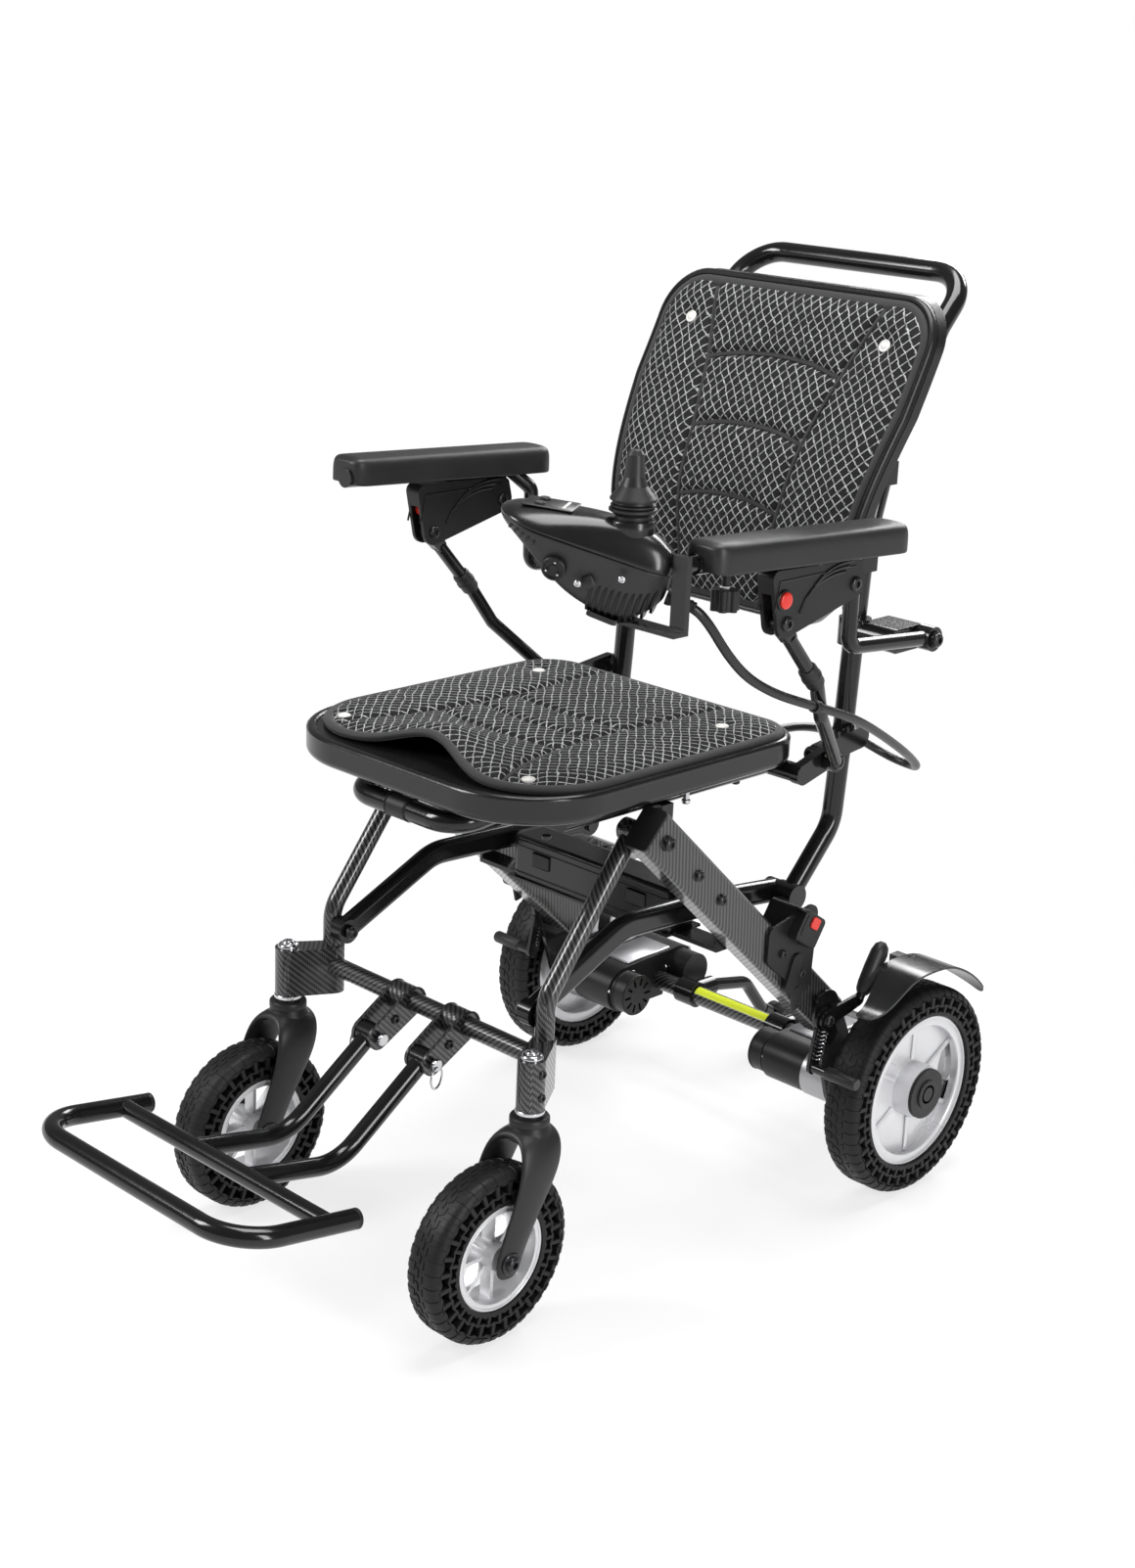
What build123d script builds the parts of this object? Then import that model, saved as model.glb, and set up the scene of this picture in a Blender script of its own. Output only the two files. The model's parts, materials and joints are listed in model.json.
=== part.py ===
from build123d import *

import os
from math import cos, radians, sin, tan

# Folding power wheelchair. Drawn in millimetres about the point of the floor under the
# driven wheels' axle: +X is the chair's left, -Y is forward, +Z is up. Every piece is moved
# along Y by axle_y when it is kept, which puts the origin under the middle of the whole.
os.makedirs("parts", exist_ok=True)

axle_y = 327.0  # from the middle of the footprint back to the driven axle

# Fits
turn_gap = 0.05  # radial gap of a pin in its bore
face_gap = 0.3  # gap between faces that move past each other

# Driven wheels
rear_r = 117.0
rear_x = 250.0
rear_tyre_w = 44.0
rear_tyre_t = 31.4
shoulder_r = 9.0
cell_r = 4.2
cell_count = 24
cell_rows = (8.9, 18.9)  # from the tyre's inner face
rim_flange_t = 9.5
rim_half_w = 17.0
web_t = 8.0
hub_r = 30.0
hub_in = 20.0
hub_out = 26.0
window_count = 6
window_angle = 32.0
window_h = 26.0
cap_r = 28.0
cap_t = 4.0
shaft_r = 8.0

# Caster wheels and forks
front_r = 89.0
front_x = 181.4
front_tyre_w = 40.0
front_tyre_t = 34.5
front_cells = 18
front_cell_r = 4.6
front_rim_t = 7.5
spoke_count = 8
spoke_w = 4.0
front_hub_r = 14.0
front_axle_r = 5.0
trail = 49.6
stem_y = -509.4
fork_gap = 3.0  # between tyre and fork leg
fork_t = 9.0
fork_clear = 8.0  # over the tyre
crown_t = 20.0
crown_r = 24.0
fork_tip_r = 14.0
neck_h = 12.0
neck_r = 17.0
collar_h = 6.0
collar_r = 12.0
stem_r = 8.0
stem_h = 48.0

# Beams
beam_foot = (-78.0, 87.0)  # from the driven axle to the lower end of the centreline
beam_len = 402.7
beam_tilt = 42.48
beam_in = 175.0
beam_w = 30.0
beam_h = 45.0
beam_wall = 2.0
beam_corner = 5.0
beam_cap_t = 3.0
pivot_in = 20.0  # leg pivot, along the beam from its top end
pivot_r = 6.0

# Drive
gear_r = 38.0
gear_front_r = 28.0
gear_w = 33.0
snout_r = 30.5
snout_reach = 226.0
motor_at = (-58.0, 8.0)  # from the driven axle
motor_r = 24.0
motor_in = 95.0
gear2_at = (39.0, 14.0)
gear2_r = 22.0
gear2_in = 92.0
housing_in = 118.0
housing_rim = 3.0
vents = 10
vent_w = 3.0
axle_tube_r = 11.0
axle_tube_at = (5.0, 4.0)
drive_plate_t = 5.0

# Anti-tip arms
tip_x = 69.0
tip_wheel_r = 18.0
tip_at = (177.0, 40.0)  # wheel centre: y, z
tip_wheel_w = 9.0
tip_eye_w = 9.0
tip_axle_r = 3.0
tip_tube_r = 7.5

# Seat
seat_rise = 21.0  # pan's underside over the beam's top end point
pan_half = 188.0
pan_front = -535.0
pan_rear = -130.0
pan_front_corner = 100.0
pan_rear_corner = 52.0
pan_t = 26.0
cushion_t = 17.7
hinge_y = -110.0
hinge_lug_r = 11.5
seat_tube_x = 150.0
seat_tube_r = 9.0
seat_cross_r = 10.0
lug_x = 186.0
lug_t = 10.5
handle_r = 11.0
handle_half = 75.0

# Latches and links
latch_at = (287.2, 75.8)  # back tube's foot: along the beam and over its centreline
link_x = 131.0
link_w = 16.0
link_h = 26.0
latch_reach = 222.0
latch_size = (38.0, 34.0)
latch_tilt = 33.0
button_t = 10.0
button_out = 1.5
button_size = (13.0, 12.0)

# Front frame
leg_x = 158.0
leg_r = 9.5
leg_eye_r = 12.0
leg_back = 39.4  # leg behind the stem
front_bar_r = 10.0
gusset_t = 51.0

# Back frame
hoop_x = 160.0
hoop_r = 11.0
hoop_bend = 45.0

# Back rest
back_low = 115.0  # over the hinge
back_high = 453.0
back_half = 188.0
back_top_corner = 52.0
back_low_corner = 30.0
back_pad_t = 16.0
shell_t = 14.0
shell_wall = 4.0

# Arms
arm_x = 242.0
arm_up = 239.0  # at the bend, over the seat hinge
arm_bend = -184.0
arm_tilt = 2.7
arm_r = 10.0
arm_front = -389.5
link_arm_x = 226.0
arm_pivot = (2.0, 117.0)  # y and height over the seat hinge
pad_w = 50.0
pad_h = 29.0
pad_front = -386.5
pad_rear = -101.0
cheek_in = 236.0
bracket_w = 20.0
cheek_t = 4.0
bracket_pivot = (-167.0, 203.0)
strut_pivot = (-267.5, 178.0)
strut_r = 7.2
plunger_r = 6.5

# Controller
ctrl_at = (158.0, -439.0, 260.0)  # x, y and height over the seat hinge
ctrl_nose = (-0.811, -0.507, 0.292)
ctrl_up = (0.248, 0.155, 0.956)
ctrl_len = 172.0
ctrl_w = 88.0
ctrl_tail_r = 26.0
ctrl_top = 31.0
ctrl_low = 55.0
ctrl_side = [(84, 3), (68, 14), (22, 24), (-28, 31), (-56, 31), (-78, 20), (-92, 4), (-88, -14),
             (-78, -40), (-52, -55), (-20, -55), (12, -43), (32, -29), (66, -10), (84, -4)]
ctrl_end = [(44.5, 3), (38, 20), (24, 34), (-24, 34), (-38, 20), (-44.5, 3), (-43, -6), (-30, -60),
            (30, -60), (43, -6)]
stick_over = (-30.0, 36.4)  # the joystick's centre of turn: toward the nose, and up
stick_ball = 16.0
stick_dome = 24.0
stick_collar = 22.0
mount_r = 8.0
gland_r = 6.0
mount_in = 34.0

# Footrest
foot_x = 40.0
foot_r = 10.0
foot_half = 158.0
foot_front = -840.0
foot_cross = -735.0
foot_end = -708.0
foot_corner = 50.0

# Battery
battery_half = 115.0
battery_y = (-252.0, -206.0)
battery_h = 47.0

# ---- Heights and points that follow from the sizes --------------------------------------
axle_z = rear_r
beam_out = beam_in + beam_w


def turn(along, rise):
    """Step along the beam and square to it, as a (y, z) pair."""
    tilt = radians(beam_tilt)
    return (along * cos(tilt) + rise * sin(tilt), rise * cos(tilt) - along * sin(tilt))


beam_end = (beam_foot[0], axle_z + beam_foot[1])
beam_step = turn(beam_len, 0)
beam_top = (beam_end[0] - beam_step[0], beam_end[1] - beam_step[1])


def on_beam(along, rise=0.0):
    """Point at a distance down the beam from its top end, as a (y, z) pair."""
    step = turn(along, rise)
    return (beam_top[0] + step[0], beam_top[1] + step[1])


leg_pivot = on_beam(pivot_in)
seat_z = beam_top[1] + seat_rise
hinge = (hinge_y, seat_z)
latch = on_beam(*latch_at)
crown_z = 2 * front_r + fork_clear
collar_z = crown_z + crown_t + neck_h
stem_z = collar_z + collar_h
leg_y = stem_y + leg_back
leg_foot = (leg_y, stem_z + 38)
leg_knee = (leg_y, stem_z + 91)
link_pin = (leg_y + 0.5, stem_z + 73)
front_bar = (leg_y - 2, stem_z + 30)
wheel_y = stem_y - trail


# ---- Helpers, used inside a BuildPart block ----------------------------------------------
def at(x, point):
    """Point on the plane x from a (y, z) pair."""
    return (x, point[0], point[1])


def over(point, base=None):
    """A (y, height over the seat hinge) pair as (y, z)."""
    return (point[0], seat_z + point[1])


def rod(start, end, radius, mode=Mode.ADD):
    """Round bar between two points."""
    start, end = Vector(*start), Vector(*end)
    with BuildSketch(Plane(origin=start, z_dir=end - start)) as section:
        Circle(radius)
    extrude(section.sketch, amount=(end - start).length, mode=mode)


def pin(x0, x1, point, radius, mode=Mode.ADD):
    """Round bar along X between two planes."""
    rod(at(x0, point), at(x1, point), radius, mode)


def pipe(points, bend, radius, mode=Mode.ADD):
    """Round tube along a path with rounded corners."""
    with BuildLine() as path:
        FilletPolyline(*points, radius=bend)
    with BuildSketch(Plane(origin=path.line @ 0, z_dir=path.line % 0)) as section:
        Circle(radius)
    sweep(section.sketch, path=path.line, mode=mode)


def plate(x0, x1, *discs, mode=Mode.ADD):
    """Plate between two planes along X: the hull of discs given as (y, z, radius)."""
    with BuildSketch(Plane.YZ.offset(x0)) as outline:
        for y, z, radius in discs:
            with Locations((y, z)):
                Circle(radius)
        make_hull()
    extrude(outline.sketch, amount=x1 - x0, mode=mode)


def block(x, y, z, mode=Mode.ADD):
    """Box between pairs of planes."""
    with Locations(((x[0] + x[1]) / 2, (y[0] + y[1]) / 2, (z[0] + z[1]) / 2)):
        Box(abs(x[1] - x[0]), abs(y[1] - y[0]), abs(z[1] - z[0]), mode=mode)


def bolt_head(x, point, radius, height):
    """Domed head standing on the plane x, outwards for a positive height."""
    pin(x, x + height, point, radius)


def both_sides():
    """Copy what is built at the left to the right."""
    mirror(about=Plane.YZ)


def keep(built, label):
    """Move a finished piece from the axle's frame to the middle's, and export it."""
    piece = Pos(0, axle_y, 0) * built.part
    piece.label = label
    export_step(piece, f"parts/{label}.step")


def keep_pair(built, label):
    """Export a left piece and its mirror image."""
    keep(built, "left_" + label)
    with BuildPart() as other:
        mirror(built.part, about=Plane.YZ)
    keep(other, "right_" + label)


# ---- Wheels -------------------------------------------------------------------------------
def tyre(centre, outer, depth, width, cell, count, rows):
    """Solid tyre with rows of open cells from side to side."""
    with BuildPart() as built:
        with BuildSketch(Plane.XY) as profile:
            with Locations((0, outer - depth / 2)):
                Rectangle(width, depth)
            fillet(profile.vertices().group_by(Axis.Y)[-1], shoulder_r)
        revolve(axis=Axis.X)
        with BuildSketch(Plane.YZ.offset(-width / 2)) as cells:
            for number, row in enumerate(rows):
                with PolarLocations(outer - depth + row, count, start_angle=180 * number / count):
                    RegularPolygon(cell, 6)
        extrude(amount=width, mode=Mode.SUBTRACT)
    return Pos(*centre) * built.part


rear_centre = (rear_x, 0, axle_z)
front_centre = (front_x, wheel_y, front_r)
rear_inner = rear_r - rear_tyre_t
front_inner = front_r - front_tyre_t

with BuildPart() as rear_tyre:
    add(tyre(rear_centre, rear_r, rear_tyre_t, rear_tyre_w, cell_r, cell_count, cell_rows))
keep_pair(rear_tyre, "rear_tyre")

with BuildPart() as front_tyre:
    add(tyre(front_centre, front_r, front_tyre_t, front_tyre_w, front_cell_r, front_cells,
             (front_tyre_t / 2 - 2,)))
keep_pair(front_tyre, "front_tyre")

rim_r = rear_inner - turn_gap
flange_in = rim_r - rim_flange_t
window_mid = (hub_r + flange_in) / 2
with BuildPart() as rear_rim:
    with BuildSketch(Plane.YZ.offset(rear_x - rim_half_w)):
        with Locations((0, axle_z)):
            Circle(rim_r)
            Circle(flange_in, mode=Mode.SUBTRACT)
    extrude(amount=2 * rim_half_w - 0.4)
    hub_plane = Plane(origin=(rear_x - web_t / 4, 0, axle_z), x_dir=(0, 1, 0), z_dir=(1, 0, 0))
    with BuildSketch(hub_plane):
        Circle(flange_in)
    extrude(amount=web_t)
    for turned in range(window_count):
        with BuildSketch(hub_plane):
            SlotArc(CenterArc((0, 0), window_mid, 360 / window_count * turned, window_angle),
                    window_h)
        extrude(amount=web_t, mode=Mode.SUBTRACT)
    pin(rear_x - hub_in, rear_x + hub_out, (0, axle_z), hub_r)
    pin(rear_x - hub_in, rear_x + hub_out, (0, axle_z), shaft_r + turn_gap, Mode.SUBTRACT)
keep_pair(rear_rim, "rear_rim")

cap_face = rear_x + hub_out
with BuildPart() as hub_cap:
    pin(cap_face, cap_face + cap_t, (0, axle_z), cap_r)
    pin(cap_face + cap_t, cap_face + cap_t + 2, (0, axle_z), cap_r - 12)
    fillet(hub_cap.edges().group_by(Axis.X)[-1], 1)
keep_pair(hub_cap, "hub_cap")

front_rim_r = front_inner - turn_gap
with BuildPart() as front_rim:
    with BuildSketch(Plane.YZ.offset(front_x - front_tyre_w / 2 + 2.6)):
        with Locations((wheel_y, front_r)):
            Circle(front_rim_r)
            Circle(front_rim_r - front_rim_t, mode=Mode.SUBTRACT)
    extrude(amount=front_tyre_w - 5.2)
    spoke_len = front_rim_r - front_rim_t / 2 - front_hub_r / 2
    with BuildSketch(Plane.YZ.offset(front_x - 7)):
        with Locations((wheel_y, front_r)):
            with PolarLocations((front_hub_r + front_rim_r - front_rim_t) / 2, spoke_count):
                Rectangle(spoke_len, spoke_w)
    extrude(amount=14)
    pin(front_x - front_tyre_w / 2, front_x + front_tyre_w / 2, (wheel_y, front_r), front_hub_r)
    pin(front_x - front_tyre_w / 2, front_x + front_tyre_w / 2, (wheel_y, front_r),
        front_axle_r + turn_gap, Mode.SUBTRACT)
keep_pair(front_rim, "front_rim")

# ---- Forks --------------------------------------------------------------------------------
leg_near = front_tyre_w / 2 + fork_gap
leg_far = leg_near + fork_t
shoulder = 16.0
crown_top = crown_z + crown_t
with BuildPart() as fork:
    for half_w, top, round_r, mode in ((leg_far, crown_top, shoulder, Mode.ADD),
                                       (leg_near, crown_z, shoulder - fork_t, Mode.SUBTRACT)):
        with BuildSketch(Plane.XZ) as arch:
            with Locations((front_x, top / 2)):
                Rectangle(2 * half_w, top)
            fillet(arch.vertices().sort_by(Axis.Y)[-2:], round_r)
        extrude(amount=-2 * stem_y, both=True, mode=mode)
    with BuildSketch(Plane.YZ) as blade:
        for y, z, radius in ((stem_y, crown_top - crown_r, crown_r),
                             (wheel_y, front_r, fork_tip_r)):
            with Locations((y, z)):
                Circle(radius)
        make_hull()
    extrude(amount=2 * front_x, mode=Mode.INTERSECT)
    rod((front_x, stem_y, crown_z + 2), (front_x, stem_y, collar_z), neck_r)
    rod((front_x, stem_y, collar_z), (front_x, stem_y, stem_z), collar_r)
    rod((front_x, stem_y, stem_z), (front_x, stem_y, stem_z + stem_h), stem_r)
    pin(front_x - leg_far, front_x + leg_far, (wheel_y, front_r), front_axle_r)
    for side in (-1, 1):
        pin(front_x + side * leg_far, front_x + side * (leg_far + 4), (wheel_y, front_r),
            front_axle_r + 3)
keep_pair(fork, "fork")

# ---- Rear frame ---------------------------------------------------------------------------
beam_plane = Plane(origin=(beam_in + beam_w / 2, *beam_top), x_dir=(1, 0, 0),
                   z_dir=(0, *turn(1, 0)))
with BuildPart() as side_beams:
    with BuildSketch(beam_plane):
        RectangleRounded(beam_w, beam_h, beam_corner)
        RectangleRounded(beam_w - 2 * beam_wall, beam_h - 2 * beam_wall,
                         beam_corner - beam_wall, mode=Mode.SUBTRACT)
    extrude(amount=beam_len)
    pin(leg_x - leg_eye_r + 2 - face_gap, beam_out, leg_pivot, pivot_r)
    pin(leg_x - leg_eye_r + 2 - face_gap, leg_x - leg_eye_r - 1, leg_pivot, pivot_r + 3)
    bolt_head(beam_out, leg_pivot, pivot_r + 2, 3)
    for along in (85, 135):
        pin(beam_in, beam_out, on_beam(along), 4)
        bolt_head(beam_out, on_beam(along), 6, 2.5)
    both_sides()
keep(side_beams, "side_beams")

with BuildPart() as beam_caps:
    with BuildSketch(beam_plane):
        RectangleRounded(beam_w, beam_h, beam_corner)
    extrude(amount=-beam_cap_t)
    with BuildSketch(beam_plane):
        RectangleRounded(beam_w - 2 * beam_wall - face_gap, beam_h - 2 * beam_wall - face_gap,
                         beam_corner - beam_wall)
    extrude(amount=pivot_in - pivot_r - 6)
    both_sides()
keep(beam_caps, "beam_caps")

drive_y = (0.0, axle_z)
motor_c = (motor_at[0], axle_z + motor_at[1])
gear2_c = (gear2_at[0], axle_z + gear2_at[1])
gear_in = beam_out - gear_w
with BuildPart() as gearcases:
    plate(gear_in, beam_out, (*drive_y, gear_r), (*motor_c, gear_front_r))
    pin(beam_out, snout_reach, drive_y, snout_r)
    pin(snout_reach, rear_x + hub_out - 2, drive_y, shaft_r)
    both_sides()
keep(gearcases, "gearcases")

with BuildPart() as motors:
    plate(housing_in, gear_in, (*motor_c, motor_r + housing_rim),
          (*gear2_c, gear2_r + housing_rim))
    pin(motor_in, housing_in, motor_c, motor_r)
    pin(gear2_in, housing_in, gear2_c, gear2_r)
    with BuildSketch(Plane.YZ.offset(motor_in)):
        with Locations(motor_c):
            with PolarLocations(motor_r * 0.68, vents):
                SlotOverall(motor_r * 0.42, vent_w)
    extrude(amount=vent_w, mode=Mode.SUBTRACT)
    both_sides()
keep(motors, "motors")

tube_c = (axle_tube_at[0], axle_z + axle_tube_at[1])
with BuildPart() as axle_tube:
    pin(-housing_in, housing_in, tube_c, axle_tube_r)
keep(axle_tube, "axle_tube")

plate_out = beam_out + drive_plate_t
with BuildPart() as drive_plates:
    plate(beam_out, plate_out, (*on_beam(beam_len - 26), 20), (*motor_c, gear_front_r))
    plate(beam_out, plate_out, (*motor_c, gear_front_r), (*drive_y, gear_r + 4))
    pin(beam_out, plate_out, drive_y, snout_r + 0.5, Mode.SUBTRACT)
    for bolt in (on_beam(beam_len - 16, 6), on_beam(beam_len - 48), motor_c):
        bolt_head(plate_out, bolt, 5, 3)
    both_sides()
keep(drive_plates, "drive_plates")

# Anti-tip arms with their twin wheels
tip_path = [(tip_x, tube_c[0] + 39, tube_c[1] - 1), (tip_x, tube_c[0] + 101, axle_z - 10),
            (tip_x, tip_at[0] - 35, tip_at[1] + 22)]
with BuildPart() as antitip_arms:
    pin(tip_x - 13, tip_x + 13, tube_c, axle_tube_r + 4)
    rod(at(tip_x, tube_c), tip_path[0], axle_tube_r)
    pin(tip_x - 13, tip_x + 13, tube_c, axle_tube_r + turn_gap, Mode.SUBTRACT)
    pipe(tip_path, 26, tip_tube_r)
    rod(tip_path[2], at(tip_x, tip_at), tip_tube_r + 1)
    block((tip_x - 14, tip_x - tip_eye_w / 2), (tip_at[0] - 20, tip_at[0] + 15),
          (tip_at[1] - 15, tip_at[1] + 22), Mode.SUBTRACT)
    block((tip_x + tip_eye_w / 2, tip_x + 14), (tip_at[0] - 20, tip_at[0] + 15),
          (tip_at[1] - 15, tip_at[1] + 22), Mode.SUBTRACT)
    pin(tip_x - tip_eye_w / 2, tip_x + tip_eye_w / 2, tip_at, tip_tube_r + 1)
    pin(tip_x - tip_eye_w / 2, tip_x + tip_eye_w / 2, tip_at, tip_axle_r + turn_gap,
        Mode.SUBTRACT)
    both_sides()
keep(antitip_arms, "antitip_arms")

with BuildPart() as antitip_wheel:
    wheel_in = tip_eye_w / 2 + face_gap
    for side in (-1, 1):
        pin(tip_x + side * wheel_in, tip_x + side * (wheel_in + tip_wheel_w), tip_at, tip_wheel_r)
    pin(tip_x - wheel_in, tip_x + wheel_in, tip_at, tip_axle_r)
keep_pair(antitip_wheel, "antitip_wheel")

# Fenders, each on a stay from the drive plate
fender_in, fender_out, fender_t = 226.0, 276.0, 2.5
fender_line = [(-153, 134), (-115, 117), (-86, 115), (-32, 137), (0, 140), (29, 137), (62, 123),
               (91, 101), (108, 79)]
with BuildPart() as fenders:
    with BuildSketch(Plane.YZ.offset(fender_in)) as band:
        with BuildLine():
            low = Spline(*[(y, axle_z + z) for y, z in fender_line])
            high = Spline(*[(y, axle_z + z + fender_t) for y, z in fender_line])
            Line(low @ 0, high @ 0)
            Line(low @ 1, high @ 1)
        make_face()
    extrude(amount=fender_out - fender_in)
    with BuildSketch(Plane.XY) as plan:
        Polygon((fender_in, -25), (fender_out, -155), (fender_out, 108), (fender_in, 80),
                align=None)
        fillet(plan.vertices().group_by(Axis.X)[-1], 9)
    extrude(amount=3 * rear_r, mode=Mode.INTERSECT)
    plate(plate_out, plate_out + 3, (4, axle_z + 44, 9), (14, axle_z + 131, 7))
    block((plate_out, fender_in + 14), (7, 21), (axle_z + 134, axle_z + 139.5))
    both_sides()
keep(fenders, "fenders")

# Battery and its tray
battery_mid = (battery_y[0] + battery_y[1]) / 2
tray_at = on_beam((battery_mid - beam_top[0]) / cos(radians(beam_tilt)), 0)
battery_z = tray_at[1] - 26.5
with BuildPart() as battery_case:
    with BuildSketch(Plane.XY.offset(battery_z)):
        with Locations((0, battery_mid)):
            RectangleRounded(2 * battery_half, battery_y[1] - battery_y[0], 9)
    extrude(amount=battery_h)
    fillet(battery_case.edges().group_by(Axis.Z)[-1], 5)
    pin(battery_half - 1, battery_half + 2, (battery_mid - 10, battery_z + battery_h / 2), 7)
keep(battery_case, "battery_case")

with BuildPart() as battery_tray:
    block((-beam_in, beam_in), (battery_mid - 14, battery_mid + 14),
          (battery_z - 5, battery_z))
    block((-battery_half - 3, battery_half + 3), (battery_y[0] - 3, battery_y[1] + 3),
          (battery_z - 3, battery_z))
    for side in (-1, 1):
        plate(side * (beam_in - 4), side * beam_in, (*tray_at, 16),
              (battery_mid - 6, battery_z + 3, 8), (battery_mid + 6, battery_z + 3, 8))
keep(battery_tray, "battery_tray")

# Latches
latch_mid = (latch[0] - 37, latch[1] - 11.4)
latch_in = hoop_x + hoop_r + 1 + face_gap
latch_way = (cos(radians(latch_tilt)), -sin(radians(latch_tilt)))
button_c = (latch_mid[0] + 5, latch_mid[1] + 6)


def latch_face(x, middle):
    """Sketch plane across X, turned to the latch's slant."""
    return Plane(origin=at(x, middle), x_dir=(0, *latch_way), z_dir=(1, 0, 0))


with BuildPart() as latch_housings:
    with BuildSketch(latch_face(latch_in, latch_mid)):
        RectangleRounded(*latch_size, 5)
    extrude(amount=latch_reach - latch_in)
    fillet(latch_housings.edges().group_by(Axis.X)[-1], 2)
    plate(beam_out, beam_out + 3.5, (*on_beam(236, 14), 9), (*on_beam(252, -4), 9),
          (*on_beam(318, 2), 12), (latch_mid[0] + 14, latch_mid[1] + 8, 12))
    plate(beam_out, beam_out + 6, (*on_beam(290, 12), 9), (*on_beam(300, -14), 8))
    for spot in (on_beam(262, 6), on_beam(306, 6)):
        bolt_head(beam_out + 3.5, spot, 4.5, 2.5)
    with BuildSketch(latch_face(latch_reach - button_t - 4, button_c)):
        RectangleRounded(button_size[0] + 2 * face_gap, button_size[1] + 2 * face_gap, 3)
    extrude(amount=button_t + 4, mode=Mode.SUBTRACT)
    both_sides()
keep(latch_housings, "latch_housings")

with BuildPart() as latch_button:
    with BuildSketch(latch_face(latch_reach - button_t, button_c)):
        RectangleRounded(*button_size, 3)
    extrude(amount=button_t + button_out)
keep_pair(latch_button, "latch_button")

# Brakes
brake_pivot = (-105.0, axle_z + 95)
lever_in = plate_out + 4
with BuildPart() as brake_brackets:
    plate(plate_out, lever_in - face_gap, (*brake_pivot, 13), (-88, axle_z + 70, 10))
    plate(plate_out, lever_in - face_gap, (-108, axle_z + 84, 9), (-117, axle_z + 43, 8))
    pin(lever_in - face_gap, lever_in + 5, brake_pivot, 5)
    pin(lever_in + 4 + face_gap, lever_in + 7, brake_pivot, 7)
    pin(plate_out, rear_x + rear_tyre_w / 2, (-117, axle_z + 43), 6)
    both_sides()
keep(brake_brackets, "brake_brackets")

with BuildPart() as brake_lever:
    plate(lever_in, lever_in + 4, (*brake_pivot, 10), (-50, axle_z + 104, 7))
    pin(lever_in, lever_in + 4, brake_pivot, 5 + turn_gap, Mode.SUBTRACT)
    rod(at(lever_in + 2, (-50, axle_z + 104)), at(lever_in + 2, (-40, axle_z + 118)), 5)
    rod(at(lever_in + 2, (-41, axle_z + 116)), at(lever_in + 2, (-22, axle_z + 147)), 7)
keep_pair(brake_lever, "brake_lever")

# ---- Seat ---------------------------------------------------------------------------------
pan_top = seat_z + pan_t
with BuildPart() as seat_pan:
    with BuildSketch(Plane.XY.offset(seat_z)) as pan:
        with Locations((0, (pan_front + pan_rear) / 2)):
            Rectangle(2 * pan_half, pan_rear - pan_front)
        fillet(pan.vertices().group_by(Axis.Y)[0], pan_front_corner)
        fillet(pan.vertices().group_by(Axis.Y)[-1], pan_rear_corner)
    extrude(amount=pan_t)
    fillet(seat_pan.edges().group_by(Axis.Z)[0], 8)
    for spot in ((-30, pan_front + 60), (30, pan_front + 60)):
        rod((*spot, seat_z - 9), (*spot, seat_z), 4)
keep(seat_pan, "seat_pan")

with BuildPart() as seat_cushion:
    with BuildSketch(Plane.XY.offset(pan_top + face_gap)) as pad:
        with Locations((0, (pan_front + pan_rear) / 2)):
            Rectangle(2 * pan_half, pan_rear - pan_front)
        fillet(pad.vertices().group_by(Axis.Y)[0], pan_front_corner)
        fillet(pad.vertices().group_by(Axis.Y)[-1], pan_rear_corner)
    extrude(amount=cushion_t)
    fillet(seat_cushion.edges().group_by(Axis.Z)[-1], 7)
keep(seat_cushion, "seat_cushion")

lug_foot = (hinge_y - 38, seat_z - seat_cross_r)
with BuildPart() as seat_frame:
    for side in (-1, 1):
        tube_z = seat_z - seat_tube_r
        rod((side * seat_tube_x, pan_front + 82, tube_z), (side * seat_tube_x, lug_foot[0], tube_z),
            seat_tube_r)
        hang = on_beam(pivot_in + 42)
        block((side * (seat_tube_x + 5), side * beam_in), (hang[0] - 8, hang[0] + 8),
              (hang[1] + 4, tube_z))
        plate(side * lug_x, side * (lug_x + lug_t), (*hinge, hinge_lug_r), (*lug_foot, 11))
        pin(side * (lug_x - 14), side * (lug_x + 1), hinge, pivot_r)
        pin(side * (lug_x - 14), side * (lug_x - 10 - face_gap), hinge, pivot_r + 2)
    pin(-lug_x, lug_x, lug_foot, seat_cross_r)
    pin(-seat_tube_x, seat_tube_x, (-413, seat_z - seat_tube_r), seat_tube_r - 1)
    pipe([(-handle_half, -413, seat_z - handle_r), (-handle_half, pan_front + 18, seat_z - 19),
          (handle_half, pan_front + 18, seat_z - 19), (handle_half, -413, seat_z - handle_r)],
         30, handle_r)
keep(seat_frame, "seat_frame")

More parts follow.
